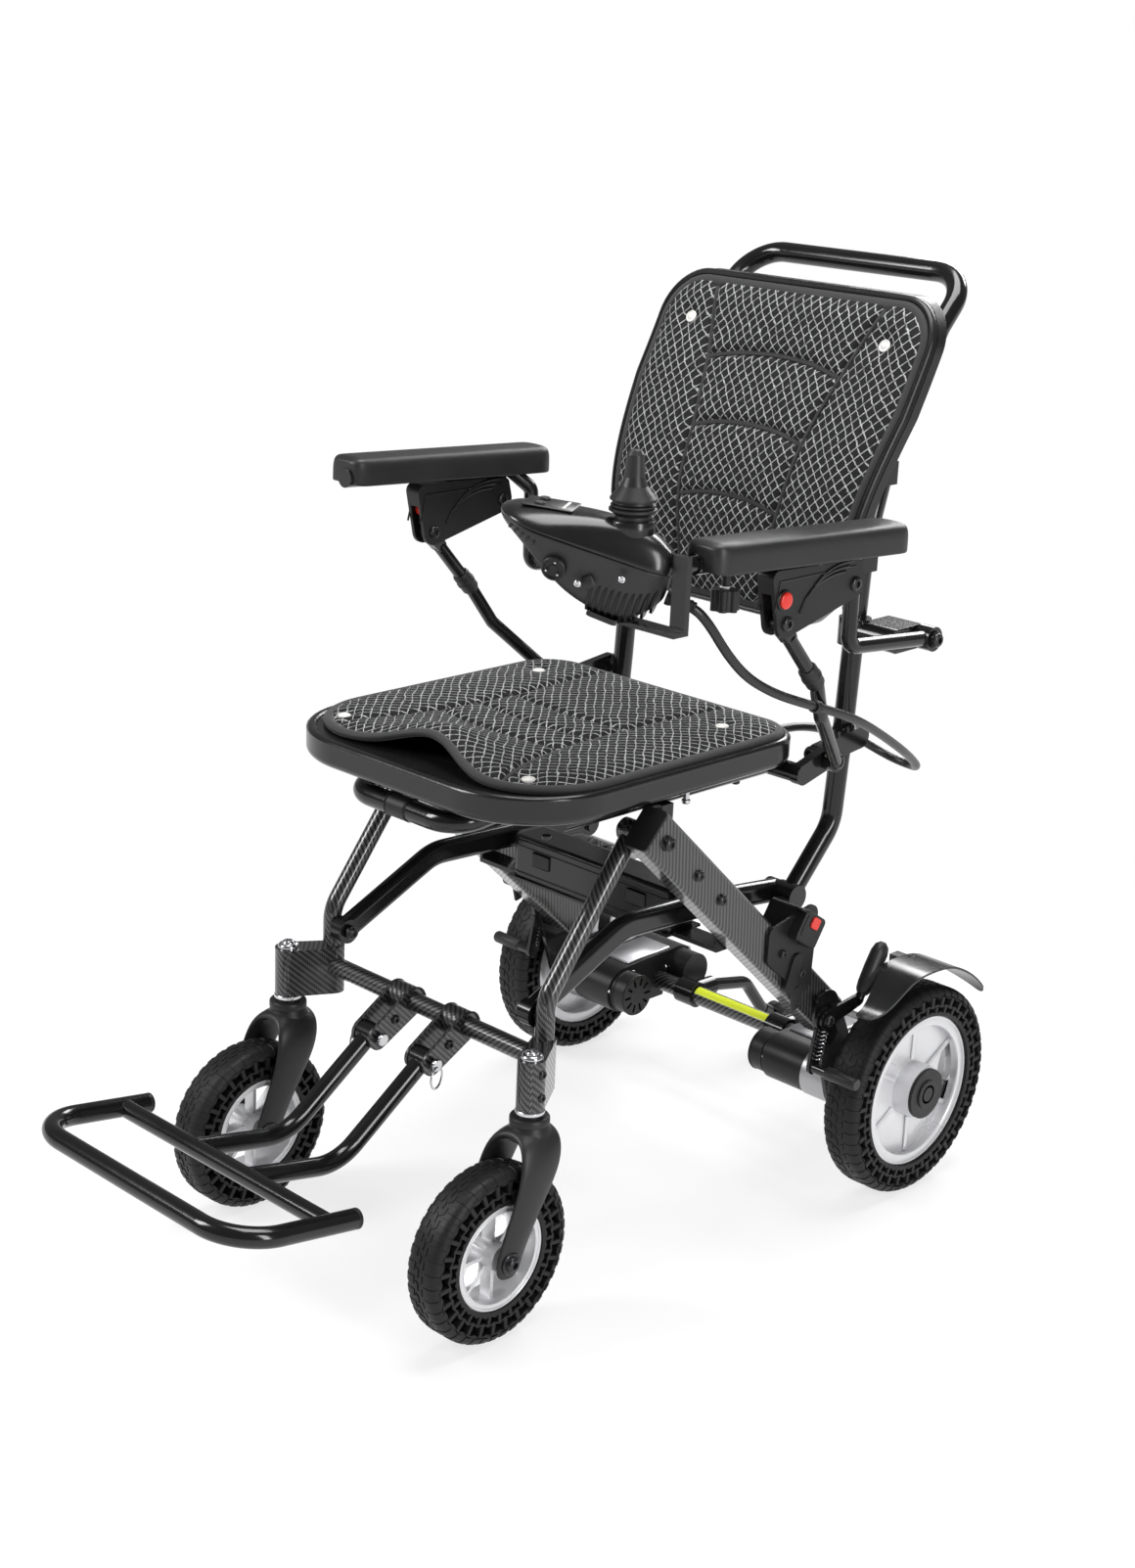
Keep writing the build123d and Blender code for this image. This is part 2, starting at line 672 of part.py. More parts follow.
# ---- Front frame --------------------------------------------------------------------------
with BuildPart() as front_frame:
    for side in (-1, 1):
        pipe([at(side * leg_x, leg_foot), at(side * leg_x, leg_knee), at(side * leg_x, leg_pivot)],
             40, leg_r)
        pin(side * (leg_x - leg_eye_r + 2), side * (beam_in - face_gap), leg_pivot, leg_eye_r)
        pin(side * (leg_x - leg_eye_r + 2), side * (beam_in - face_gap), leg_pivot,
            pivot_r + turn_gap, Mode.SUBTRACT)
        with BuildSketch(Plane.XY.offset(stem_z)) as gusset:
            with Locations((side * (leg_x - 1), leg_y + 1)):
                Circle(12)
            with Locations((side * front_x, stem_y)):
                Circle(14)
            make_hull()
        extrude(gusset.sketch, amount=gusset_t)
        rod((side * front_x, stem_y, stem_z), (side * front_x, stem_y, stem_z + stem_h + 1),
            stem_r + turn_gap, Mode.SUBTRACT)
        pin(side * link_x - side * 2, side * leg_x, link_pin, 4)
        pin(side * (link_x - 2 - face_gap), side * (link_x - 6), link_pin, 7)
        pin(side * (link_x - 2 - face_gap), side * link_x, link_pin, 4)
    pin(-leg_x, leg_x, front_bar, front_bar_r)
keep(front_frame, "front_frame")

with BuildPart() as stem_bolts:
    for side in (-1, 1):
        rod((side * front_x, stem_y, stem_z + gusset_t),
            (side * front_x, stem_y, stem_z + gusset_t + 5), 11)
    fillet(stem_bolts.edges().group_by(Axis.Z)[-1], 4)
keep(stem_bolts, "stem_bolts")

# Side bars from the front legs to the back tubes' feet
with BuildPart() as side_bars:
    link_mid = link_x + link_w / 2
    with BuildLine() as link_path:
        FilletPolyline(at(link_mid, link_pin), (link_mid, latch[0] - 235, latch[1] + 16),
                       (link_mid, latch[0] - 90, latch[1] + 10), at(link_mid, latch), radius=60)
    with BuildSketch(Plane(origin=link_path.line @ 0, x_dir=(1, 0, 0),
                           z_dir=link_path.line % 0)):
        RectangleRounded(link_w, link_h, link_w / 2 - 0.5)
    sweep(path=link_path.line)
    for end in (link_pin, latch):
        pin(link_x, link_x + link_w, end, link_h / 2)
    pin(link_x, link_x + link_w, link_pin, 4 + turn_gap, Mode.SUBTRACT)
    pin(link_x - 4, link_x, latch, 8)
    both_sides()
keep(side_bars, "side_bars")

# ---- Footrest -----------------------------------------------------------------------------
foot_pin = (front_bar[0] - 46, front_bar[1] - 27)
foot_z = stem_z - 53  # height of the loop's cross bar
with BuildPart() as footrest_brackets:
    for side in (-1, 1):
        x = side * foot_x
        for cheek in (-1, 1):
            near, far = x + cheek * (foot_r + face_gap), x + cheek * (foot_r + 4)
            plate(near, far, (*front_bar, front_bar_r + 5), (*foot_pin, 13))
        pin(x - foot_r - 4, x + foot_r + 4, front_bar, front_bar_r + 5)
        pin(-leg_x, leg_x, front_bar, front_bar_r + turn_gap, Mode.SUBTRACT)
    for side in (-1, 1):
        pin(side * foot_x - foot_r - 8, side * foot_x + foot_r + 8, foot_pin, 4)
keep(footrest_brackets, "footrest_brackets")

with BuildPart() as footrest:
    for side in (-1, 1):
        x = side * foot_x
        pipe([at(x, foot_pin), (x, foot_pin[0] - 109, foot_z - 22), (x, foot_cross, foot_z)],
             60, foot_r - 0.5)
        pin(x - foot_r, x + foot_r, foot_pin, foot_r + 2)
        pin(x - foot_r, x + foot_r, foot_pin, 4 + turn_gap, Mode.SUBTRACT)
    pipe([(-foot_half, foot_end, foot_z - 5), (-foot_half, foot_front, foot_z + 16),
          (foot_half, foot_front, foot_z + 16), (foot_half, foot_end, foot_z - 5)],
         foot_corner, foot_r)
    cross_z = foot_z - 5 + 21 * (foot_end - foot_cross) / (foot_end - foot_front)
    pin(-foot_half, foot_half, (foot_cross, cross_z), foot_r - 1)
keep(footrest, "footrest")

with BuildPart() as footrest_plugs:
    slope = Vector(0, foot_end - foot_front, -21).normalized()
    for side in (-1, 1):
        end = Vector(side * foot_half, foot_end, foot_z - 5)
        rod(end, end + slope * 4, foot_r)
keep(footrest_plugs, "footrest_plugs")

# ---- Back frame ---------------------------------------------------------------------------
hoop_side = [at(hoop_x, latch), (hoop_x, -50, seat_z - 92), (hoop_x, -41, seat_z + 23),
             (hoop_x, -31, seat_z + 203), (hoop_x - 4, 5, seat_z + 309),
             (hoop_x - 10, 81, seat_z + 420), (hoop_x - 13, 132, seat_z + 471)]
hoop_path = hoop_side + [(-x, y, z) for x, y, z in reversed(hoop_side)]
plate_in = lug_x - face_gap - 9.7
with BuildPart() as back_frame:
    pipe(hoop_path, hoop_bend, hoop_r)
    for side in (-1, 1):
        pin(side * (link_x + link_w + face_gap), side * (hoop_x + hoop_r + 0.7), latch, 14)
        plate(side * plate_in, side * (lug_x - face_gap), (*hinge, hinge_lug_r),
              (-42, seat_z + 8, 12))
        pin(side * hoop_x, side * plate_in, (-42, seat_z + 8), 10)
        pin(side * plate_in, side * lug_x, hinge, pivot_r + turn_gap, Mode.SUBTRACT)
keep(back_frame, "back_frame")

# Back rest: the band between front and rear faces, cut to the outline
face_line = [(-76, 0), (-76, 38), (-72, 111), (-31, 212), (7, 285), (15, 302), (33, 338)]


def back_band(front, rear, low, high):
    """Face between two offsets of the back's front line, in the YZ plane."""
    with BuildSketch(Plane.YZ) as band:
        with BuildLine():
            line = [(y, seat_z + back_low + z) for y, z in face_line]
            near = Spline(*[(y + front, z) for y, z in line])
            far = Spline(*[(y + rear, z) for y, z in line])
            Line(near @ 0, far @ 0)
            Line(near @ 1, far @ 1)
        make_face()
    return band.sketch


def back_outline():
    """Front view of the back rest, in the XZ plane."""
    low, high = seat_z + back_low, seat_z + back_high
    half = [(118, low), (150, low + 30), (172, low + 95), (back_half, low + 222), (back_half, high)]
    with BuildSketch(Plane.XZ) as outline:
        Polygon(*half, *[(-x, z) for x, z in reversed(half)], align=None)
        fillet(outline.vertices().sort_by(Axis.Y)[-2:], back_top_corner)
        fillet(outline.vertices().sort_by(Axis.Y)[:6], back_low_corner)
    return outline.sketch


with BuildPart() as backrest_cushion:
    extrude(back_band(0, back_pad_t, back_low, back_high), amount=back_half, both=True)
    extrude(back_outline(), amount=3 * back_half, both=True, mode=Mode.INTERSECT)
keep(backrest_cushion, "backrest_cushion")

with BuildPart() as backrest_shell:
    extrude(back_band(back_pad_t + face_gap, back_pad_t + shell_t, back_low, back_high),
            amount=back_half, both=True)
    extrude(back_outline(), amount=3 * back_half, both=True, mode=Mode.INTERSECT)
    for side in (-1, 1):
        for low, y0 in ((78, -50), (166, -28)):
            z = seat_z + back_low + low
            block((side * (hoop_x - 14), side * (hoop_x + 14)), (y0, y0 + 26), (z - 12, z + 12))
    pipe(hoop_path, hoop_bend, hoop_r + turn_gap, Mode.SUBTRACT)
keep(backrest_shell, "backrest_shell")

# ---- Arms ---------------------------------------------------------------------------------
arm_z = seat_z + arm_up
pivot_c = over(arm_pivot)
bracket_c = over(bracket_pivot)
strut_c = over(strut_pivot)
link_half = arm_r - 1
with BuildPart() as arm_clamps:
    rod((hoop_x, -36, pivot_c[1] - 14), (hoop_x, -36, pivot_c[1] + 14), hoop_r + 6)
    plate(hoop_x + hoop_r + 2, link_arm_x - link_half - face_gap, (-37, pivot_c[1] - 0.5, 12.6),
          (*pivot_c, 12.6))
    pin(hoop_x + hoop_r + 2, link_arm_x + link_half + 1, pivot_c, pivot_r)
    pin(link_arm_x + link_half + face_gap, link_arm_x + link_half + 3, pivot_c, pivot_r + 3)
    pipe(hoop_path, hoop_bend, hoop_r + turn_gap, Mode.SUBTRACT)
    both_sides()
keep(arm_clamps, "arm_clamps")


def arm_point(y, lift=0.0, x=arm_x):
    """Point over the arm's centreline, which climbs toward the front."""
    return (x, y, arm_z + (arm_bend - y) * tan(radians(arm_tilt)) + lift)


arm_up_dir = (0, sin(radians(arm_tilt)), cos(radians(arm_tilt)))
arm_plane = Plane(origin=(0, arm_bend, arm_z), x_dir=(1, 0, 0), z_dir=arm_up_dir)


def arm(bored):
    """Left arm tube: straight run, link down to the clamp's pivot."""
    with BuildPart() as built:
        pipe([arm_point(arm_bend), arm_point(arm_bend + 26), (link_arm_x, -133, arm_z - 26),
              (link_arm_x, -131, pivot_c[1] + 11), at(link_arm_x, pivot_c)], 13, link_half - 1)
        rod(arm_point(arm_front), arm_point(arm_bend + 10), arm_r)
        pin(link_arm_x - link_half, link_arm_x + link_half, pivot_c, 13)
        pin(link_arm_x - link_half, link_arm_x + link_half, pivot_c, pivot_r + turn_gap,
            Mode.SUBTRACT)
        if bored:
            rod(arm_point(arm_front), arm_point(arm_front + mount_in), mount_r + turn_gap,
                Mode.SUBTRACT)
        pin(cheek_in + cheek_t + face_gap, cheek_in + bracket_w - cheek_t - face_gap,
            bracket_c, 9)
        block((cheek_in + cheek_t + face_gap, cheek_in + bracket_w - cheek_t - face_gap),
              (bracket_c[0] - 9, bracket_c[0] + 9), (bracket_c[1], arm_z))
    return built


plain_arm = arm(False)
with BuildPart() as right_arm:
    mirror(plain_arm.part, about=Plane.YZ)
keep(arm(True), "left_arm_tube")
keep(right_arm, "right_arm_tube")



def arm_box(x, y, low, height, mode=Mode.ADD):
    """Box square to the arm: its plan between pairs of x and y, from a height over the arm."""
    with BuildSketch(arm_plane.offset(low)) as plan:
        with Locations(((x[0] + x[1]) / 2, (y[0] + y[1]) / 2 - arm_bend)):
            Rectangle(x[1] - x[0], y[1] - y[0])
        if mode == Mode.ADD:
            chamfer(plan.vertices(), 12)
    extrude(plan.sketch, amount=height, mode=mode)


pad_low = -7.0
channel = arm_r + face_gap
channel_y = (pad_front - 1, pad_rear - 24)
with BuildPart() as arm_pad:
    arm_box((arm_x + 6 - pad_w / 2, arm_x + 6 + pad_w / 2), (pad_front, pad_rear), pad_low, pad_h)
    fillet(arm_pad.faces().sort_by(Axis.Z)[-1].edges(), 8)
    rod(arm_point(channel_y[0]), arm_point(channel_y[1]), channel, Mode.SUBTRACT)
    arm_box((arm_x - channel, arm_x + channel), channel_y, pad_low - 1, 1 - pad_low,
            Mode.SUBTRACT)
    arm_box((arm_x - 30, arm_x + channel), (-178, pad_rear - 16), pad_low - 1,
            1 - pad_low + channel, Mode.SUBTRACT)
keep_pair(arm_pad, "arm_pad")

cheek_out = cheek_in + bracket_w
button_at = (strut_c[0] - 7, strut_c[1] + 24)
with BuildPart() as release_bracket:
    plate(cheek_in, cheek_out, (*bracket_c, 14), (bracket_c[0] + 2, arm_z - 20, 8),
          (strut_c[0] - 16, arm_z - 16, 8), (*strut_c, 14))
    plate(cheek_in + cheek_t, cheek_out - cheek_t, (bracket_c[0] - 10, bracket_c[1] - 30, 22),
          (strut_c[0] + 12, strut_c[1] - 18, 22), (strut_c[0] - 16, strut_c[1] + 16, 14),
          (bracket_c[0] + 10, bracket_c[1] + 40, 30), mode=Mode.SUBTRACT)
    pin(cheek_out - cheek_t, cheek_out, button_at, plunger_r + face_gap, Mode.SUBTRACT)
    pin(cheek_in, cheek_out, bracket_c, 5 + turn_gap, Mode.SUBTRACT)
keep_pair(release_bracket, "release_bracket")

with BuildPart() as release_button:
    pin(cheek_out - 9, cheek_out + 2, button_at, plunger_r)
keep_pair(release_button, "release_button")

strut_mid = (cheek_in + cheek_out) / 2
strut_half = bracket_w / 2 - cheek_t - face_gap
strut_in = lug_x + lug_t + 0.8
strut_top = (strut_c[0] + 16, strut_c[1] - 17.7)
with BuildPart() as strut:
    plate(strut_mid - strut_half, strut_mid + strut_half, (*strut_c, 9), (*strut_top, 6.5))
    pipe([at(strut_mid, strut_top), (strut_mid - 1, strut_c[0] + 67, strut_c[1] - 74),
          (strut_mid - 11, -178, seat_z + 66), at(strut_in + 8, hinge)], 14, strut_r)
    pin(strut_in, strut_in + 11, hinge, 11)
keep_pair(strut, "strut")

# ---- Controller ---------------------------------------------------------------------------
ctrl_c = Vector(ctrl_at[0], ctrl_at[1], seat_z + ctrl_at[2])
ctrl_plane = Plane(origin=ctrl_c, x_dir=ctrl_nose, z_dir=ctrl_up)
ctrl_side_plane = Plane(origin=ctrl_c, x_dir=ctrl_nose,
                        z_dir=Vector(*ctrl_nose).cross(Vector(*ctrl_up)))
ctrl_end_plane = Plane(origin=ctrl_c, x_dir=Vector(*ctrl_up).cross(Vector(*ctrl_nose)),
                       z_dir=ctrl_nose)
stick_c = ctrl_plane.from_local_coords(Vector(stick_over[0], 0, stick_over[1]))
collar_top = stick_c - Vector(0, 0, 1.4)
with BuildPart() as controller_body:
    with BuildSketch(ctrl_plane) as ctrl_plan:
        with Locations((ctrl_len / 2 - ctrl_w / 2, 0)):
            Circle(ctrl_w / 2)
        with Locations((ctrl_tail_r - ctrl_len / 2 + 2, 0)):
            Circle(ctrl_tail_r)
        make_hull()
    extrude(amount=ctrl_w, both=True)
    for plane, outline in ((ctrl_side_plane, ctrl_side), (ctrl_end_plane, ctrl_end)):
        with BuildSketch(plane) as ctrl_profile:
            Polygon(*outline, align=None)
            fillet(ctrl_profile.vertices(), 5)
        extrude(amount=2 * ctrl_w, both=True, mode=Mode.INTERSECT)
    rod(collar_top - Vector(0, 0, 18), collar_top, stick_collar)
    with Locations(stick_c):
        Sphere(stick_ball + turn_gap, mode=Mode.SUBTRACT)
    gland_in = ctrl_plane.from_local_coords(Vector(12 - ctrl_len / 2, 0, -20))
    gland_out = ctrl_plane.from_local_coords(Vector(-4 - ctrl_len / 2, 0, -20))
    rod(gland_in, gland_out, gland_r)
keep(controller_body, "controller_body")


def spun(*lines):
    """Solid of revolution about the joystick's upright axis."""
    with BuildSketch(Plane(origin=stick_c, x_dir=(1, 0, 0), z_dir=(0, -1, 0))) as half:
        with BuildLine():
            for make in lines:
                make()
        make_face()
    revolve(half.sketch, axis=Axis(stick_c, (0, 0, 1)))


def on_arc(radius, angle):
    """Point of a circle about the joystick's centre, from an angle in degrees."""
    return (radius * cos(radians(angle)), radius * sin(radians(angle)))


dome_r = stick_dome - turn_gap
ball_edge = on_arc(stick_ball, 8)
dome_edge = on_arc(dome_r, 45)
ring_line = [ball_edge, (22, 6.5), (22, 8.5), (18.5, 9.5), (20.5, 10.5), (20.5, 12), (17.5, 13),
             dome_edge]
with BuildPart() as joystick_boot:
    spun(lambda: CenterArc((0, 0), stick_ball, -90, 98), lambda: Polyline(*ring_line),
         lambda: CenterArc((0, 0), dome_r, 45, 45), lambda: Line((0, dome_r), (0, -stick_ball)))
keep(joystick_boot, "joystick_boot")

skirt_edge = on_arc(stick_dome, 43)
knob_line = [skirt_edge, (21.5, skirt_edge[1]), (21.5, 18), (12.5, 29), (9.6, 37), (8.2, 57),
             (5.5, 61), (0, 61.5), (0, stick_dome)]
with BuildPart() as joystick_knob:
    spun(lambda: CenterArc((0, 0), stick_dome, 43, 47), lambda: Polyline(*knob_line))
keep(joystick_knob, "joystick_knob")

mount_y = (arm_front - 21, arm_front - 14)
mount_z = arm_point(mount_y[1])[2]
with BuildPart() as controller_mount:
    rod(arm_point(arm_front + mount_in - 2), arm_point(arm_front - 18), mount_r)
    block((arm_x - 6, arm_x + 11), mount_y, (mount_z - 63, mount_z + 10))
    with BuildSketch(ctrl_plane.offset(-ctrl_low)) as shoe:
        with Locations((-36, 0)):
            RectangleRounded(30, 34, 6)
    extrude(shoe.sketch, amount=-5)
    block((arm_x - 62, arm_x + 11), (arm_front - 34, arm_front - 14),
          (mount_z - 63, mount_z - 58.5))
keep(controller_mount, "controller_mount")

knob_y = arm_front + 47
knob_top = arm_point(knob_y)
with BuildPart() as clamp_knob:
    rod(Vector(*knob_top) - Vector(0, 0, arm_r + face_gap), Vector(*knob_top) - Vector(0, 0, 27), 4)
    with BuildSketch(Plane.XY.offset(knob_top[2] - 27)):
        with Locations((arm_x, knob_y)):
            Circle(11)
            with PolarLocations(10, 6):
                Circle(4)
    extrude(amount=-20)
keep(clamp_knob, "clamp_knob")

# ---- Controller cable ---------------------------------------------------------------------
cable_r = 4.6
clip = Vector(252, -209, seat_z + 86)
gland_run = gland_out - gland_in


def cable(points):
    """Round cable of straight runs and tangent arcs that fill most of each corner."""
    points = [Vector(*p) for p in points]
    runs = [after - before for before, after in zip(points, points[1:])]
    bends = []
    for before, after in zip(runs, runs[1:]):
        half_turn = radians(before.get_angle(after)) / 2
        bends.append(0.45 * min(before.length, after.length) / tan(half_turn))
    with BuildLine() as path:
        FilletPolyline(*points, radius=bends)
    with BuildSketch(Plane(origin=path.line @ 0, z_dir=path.line % 0)) as section:
        Circle(cable_r)
    sweep(section.sketch, path=path.line)
    print("cable length", round(path.wire().length, 1), "runs", [round(r.length) for r in runs],
          "radii", [round(b, 1) for b in bends],
          "turns", [round(a.get_angle(b)) for a, b in zip(runs, runs[1:])])


def from_seat(*points):
    """Points given as x, y and height over the seat hinge."""
    return [(x, y, seat_z + z) for x, y, z in points]


clip_way = Vector(-1, 37, -13).normalized()
with BuildPart() as cable_upper:
    cable([gland_out, gland_out + gland_run * 1.25,
           *from_seat((249, -372, 193), (250, -345, 160), (250, -315, 133), (252, -282, 114)),
           clip - clip_way * 39, clip])

keep(cable_upper, "cable_upper")

with BuildPart() as cable_lower:
    cable([clip, clip + clip_way * 38,
           *from_seat((246, -126, 54), (236, -73, 27), (225, -25, 1), (213, 10, -18),
                      (203, 38, -36), (184, 50, -41), (161, 50, -39), (143, 40, -30),
                      (135, 12, -13), (131, -28, 0), (128, -62, 10), (126, -95, 14),
                      (126, pan_rear, 14))])

keep(cable_lower, "cable_lower")
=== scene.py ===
import json
from math import atan2, cos, pi, radians, sin, tan

import bmesh
import bpy
import numpy as np
from mathutils import Matrix, Vector


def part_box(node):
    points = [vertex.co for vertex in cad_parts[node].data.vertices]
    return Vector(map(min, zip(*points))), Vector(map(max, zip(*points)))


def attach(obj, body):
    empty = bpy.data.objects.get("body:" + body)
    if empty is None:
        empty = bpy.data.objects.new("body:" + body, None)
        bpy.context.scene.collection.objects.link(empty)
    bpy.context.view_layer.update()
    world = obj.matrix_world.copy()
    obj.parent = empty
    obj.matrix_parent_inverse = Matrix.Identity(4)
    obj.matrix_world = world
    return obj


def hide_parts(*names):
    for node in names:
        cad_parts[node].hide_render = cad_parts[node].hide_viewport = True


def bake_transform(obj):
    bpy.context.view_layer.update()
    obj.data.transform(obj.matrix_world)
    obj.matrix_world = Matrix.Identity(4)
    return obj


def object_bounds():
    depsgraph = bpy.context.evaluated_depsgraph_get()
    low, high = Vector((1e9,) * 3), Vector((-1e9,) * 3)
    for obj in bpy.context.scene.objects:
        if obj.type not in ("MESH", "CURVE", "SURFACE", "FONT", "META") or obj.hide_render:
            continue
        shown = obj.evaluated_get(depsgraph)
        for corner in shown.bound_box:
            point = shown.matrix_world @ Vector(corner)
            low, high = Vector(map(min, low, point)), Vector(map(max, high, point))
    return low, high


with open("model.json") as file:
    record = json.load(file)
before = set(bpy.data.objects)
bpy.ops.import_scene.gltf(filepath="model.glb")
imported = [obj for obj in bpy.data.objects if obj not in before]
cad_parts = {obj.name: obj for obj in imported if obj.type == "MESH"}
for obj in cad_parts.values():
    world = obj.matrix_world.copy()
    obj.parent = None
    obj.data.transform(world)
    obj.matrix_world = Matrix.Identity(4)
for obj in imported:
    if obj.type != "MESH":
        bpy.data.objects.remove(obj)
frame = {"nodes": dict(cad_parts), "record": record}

cad_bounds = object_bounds()
nodes = frame["nodes"]
HANDS = ((1, "left"), (-1, "right"))  # direction along X, and name
X_AXIS, Z_AXIS = (1, 0, 0), (0, 0, 1)


# ---- Sizes shared with the part's source, in millimetres from the floor under the driven axle
AXLE_Y = 327.0  # the driven axle's place along the frame's Y
AXLE_Z = 117.0
CASTER_R = 89.0
FRONT_X, REAR_X = 181.4, 250.0  # middles of the wheels
STEM_Y, CASTER_Y = -509.4, -559.0
LEG_X = 158  # of the front frame's two legs
AXLE_TUBE = (5, 121)  # Y and Z, as in the next two lines
MOTORS = ((-58, 125), (39, 131))
ANTITIP = (177, 40)
TILT = radians(42.48)  # of the side beams
CABLE_R = 0.0046  # metres


def P(x, y, z):
    """Point given in millimetres from the driven axle, in the frame's metres."""
    return Vector((x / 1000, (y + AXLE_Y) / 1000, z / 1000))


def turn(along, rise=0.0):
    """Steps along and off the side beam, as steps along Y and Z."""
    return (along * cos(TILT) + rise * sin(TILT), rise * cos(TILT) - along * sin(TILT))


BEAM_TOP = (-78 - turn(402.7)[0], AXLE_Z + 87 - turn(402.7)[1])


def on_beam(along, rise=0.0):
    """Y and Z of a point down the side beam from its top end."""
    step = turn(along, rise)
    return (BEAM_TOP[0] + step[0], BEAM_TOP[1] + step[1])


SEAT_Z = BEAM_TOP[1] + 21  # the hinge between seat and back
PAN_TOP = SEAT_Z + 26
ARM_Z = SEAT_Z + 239
CLIP = Vector((252, -209, SEAT_Z + 86))
CTRL = Vector((158, -439, SEAT_Z + 260))  # the controller's middle, and its three directions
NOSE = Vector((-0.811, -0.507, 0.292)).normalized()
UP = Vector((0.248, 0.155, 0.956)).normalized()
SIDE = UP.cross(NOSE)


def C(u, w, v=0.0):
    """Point of the controller: toward its nose, up, and out toward its near side."""
    return CTRL + NOSE * u + UP * w + SIDE * v


def put(name, data):
    """Object of that data, in the scene."""
    o = bpy.data.objects.new(name, data)
    bpy.context.scene.collection.objects.link(o)
    return o


def applied(o):
    """Mesh of an object with its modifiers applied."""
    bpy.context.view_layer.update()
    return bpy.data.meshes.new_from_object(
        o.evaluated_get(bpy.context.evaluated_depsgraph_get()))


def around(n):
    """n angles evenly spaced round a circle."""
    return [2 * pi * k / n for k in range(n)]


# ---- Camera ----------------------------------------------------------
# Solved from the photograph
az, el, roll = radians(43.98), radians(17.91), radians(2.47)
FOCAL_PX, PHOTO_PX, SENSOR = 2439.2, 1602, 36
back = Vector((sin(az) * cos(el), -cos(az) * cos(el), sin(el)))
level = Vector((cos(az), sin(az), 0))
rise = level.cross(-back)
cam_x = level * cos(roll) + rise * sin(roll)
cam_y = -level * sin(roll) + rise * cos(roll)
cam_data = bpy.data.cameras.new("camera")
cam_data.sensor_width = SENSOR
cam_data.lens = FOCAL_PX / PHOTO_PX * SENSOR
cam = put("camera", cam_data)
cam.matrix_world = (Matrix.Translation(P(1627.3, -1975.6, 1212.9))
                    @ Matrix((cam_x, cam_y, back)).transposed().to_4x4())
bpy.context.scene.camera = cam
bpy.context.scene.view_settings.view_transform = "Standard"


# ---- Controller cable ------------------------------------------------
def cord_piece(name, points):
    """Cable along a NURBS line through its route."""
    curve = bpy.data.curves.new(name + "_line", "CURVE")
    curve.dimensions = "3D"
    line = curve.splines.new("NURBS")
    line.points.add(len(points) - 1)
    for point, place in zip(line.points, points):
        point.co = (*P(*place), 1)
    line.order_u = 3
    line.use_endpoint_u = True
    line.resolution_u = 14
    route = put(name + "_line", curve)
    bpy.context.view_layer.update()
    thin = bpy.data.meshes.new_from_object(route)
    path = [tuple(v.co) for v in thin.vertices]
    curve.bevel_depth = CABLE_R
    curve.bevel_resolution = 5
    curve.use_fill_caps = True
    bpy.context.view_layer.update()
    mesh = bpy.data.meshes.new_from_object(route)
    bpy.data.objects.remove(route)
    tube = put(name, mesh)
    for p in mesh.polygons:
        p.use_smooth = True
    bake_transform(tube)
    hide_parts(name.replace("_tube", ""))
    return tube


GLAND = C(-90, -20)
GLAND_RUN = NOSE * -16
CLIP_WAY = Vector((-1, 37, -13)).normalized()


def from_seat(*points):
    return [Vector((x, y, SEAT_Z + z)) for x, y, z in points]


upper_route = [GLAND, GLAND + GLAND_RUN * 1.25,
               *from_seat((249, -372, 193), (250, -345, 160), (250, -315, 133),
                          (252, -282, 114)), CLIP - CLIP_WAY * 39, CLIP]
lower_route = [CLIP, CLIP + CLIP_WAY * 38,
               *from_seat((246, -126, 54), (236, -73, 27), (225, -25, 1), (213, 10, -18),
                          (203, 38, -36), (184, 50, -41), (161, 50, -39), (143, 40, -30),
                          (135, 12, -13), (131, -28, 0), (128, -62, 10), (126, -95, 14),
                          (126, -130, 14))]
cable_upper = cord_piece("cable_upper_tube", upper_route)
cable_lower = cord_piece("cable_lower_tube", lower_route)


# ---- Shader helpers --------------------------------------------------
def node(t, kind):
    return t.nodes.new("ShaderNode" + kind)


def dial(n, values):
    """Set a node's inputs by name."""
    for key, value in values.items():
        n.inputs[key].default_value = value


def new_mat(name):
    """Material with one principled shader: the material, its tree and the shader."""
    m = bpy.data.materials.new(name)
    m.use_nodes = True
    t = m.node_tree
    t.nodes.clear()
    out = node(t, "OutputMaterial")
    b = node(t, "BsdfPrincipled")
    t.links.new(b.outputs[0], out.inputs[0])
    return m, t, b


def calc(t, op, a, b=None):
    """Math node on numbers or sockets, in tree t."""
    n = node(t, "Math")
    n.operation = op
    for i, v in enumerate((a, b)):
        if isinstance(v, (int, float)):
            n.inputs[i].default_value = v
        elif v is not None:
            t.links.new(v, n.inputs[i])
    return n.outputs[0]


def coords(t):
    return node(t, "TexCoord").outputs["Object"]


def noise(t, scale, detail=3.0, rough=0.5):
    n = node(t, "TexNoise")
    dial(n, {"Scale": scale, "Detail": detail, "Roughness": rough})
    t.links.new(coords(t), n.inputs["Vector"])
    return n.outputs["Fac"]


def bump(t, b, height, strength, dist, edge=0.0):
    """Relief on shader b, over edges rounded by edge metres."""
    n = node(t, "Bump")
    dial(n, {"Strength": strength, "Distance": dist})
    t.links.new(height, n.inputs["Height"])
    if edge:
        bevel = node(t, "Bevel")
        bevel.samples = 4
        bevel.inputs["Radius"].default_value = edge
        t.links.new(bevel.outputs[0], n.inputs["Normal"])
    t.links.new(n.outputs[0], b.inputs["Normal"])


def mix_color(t, fac, a, b):
    n = node(t, "Mix")
    n.data_type = "RGBA"
    for i, v in ((6, a), (7, b)):
        if isinstance(v, tuple):
            n.inputs[i].default_value = (*v, 1)
        else:
            t.links.new(v, n.inputs[i])
    t.links.new(fac, n.inputs[0])
    return n.outputs[2]


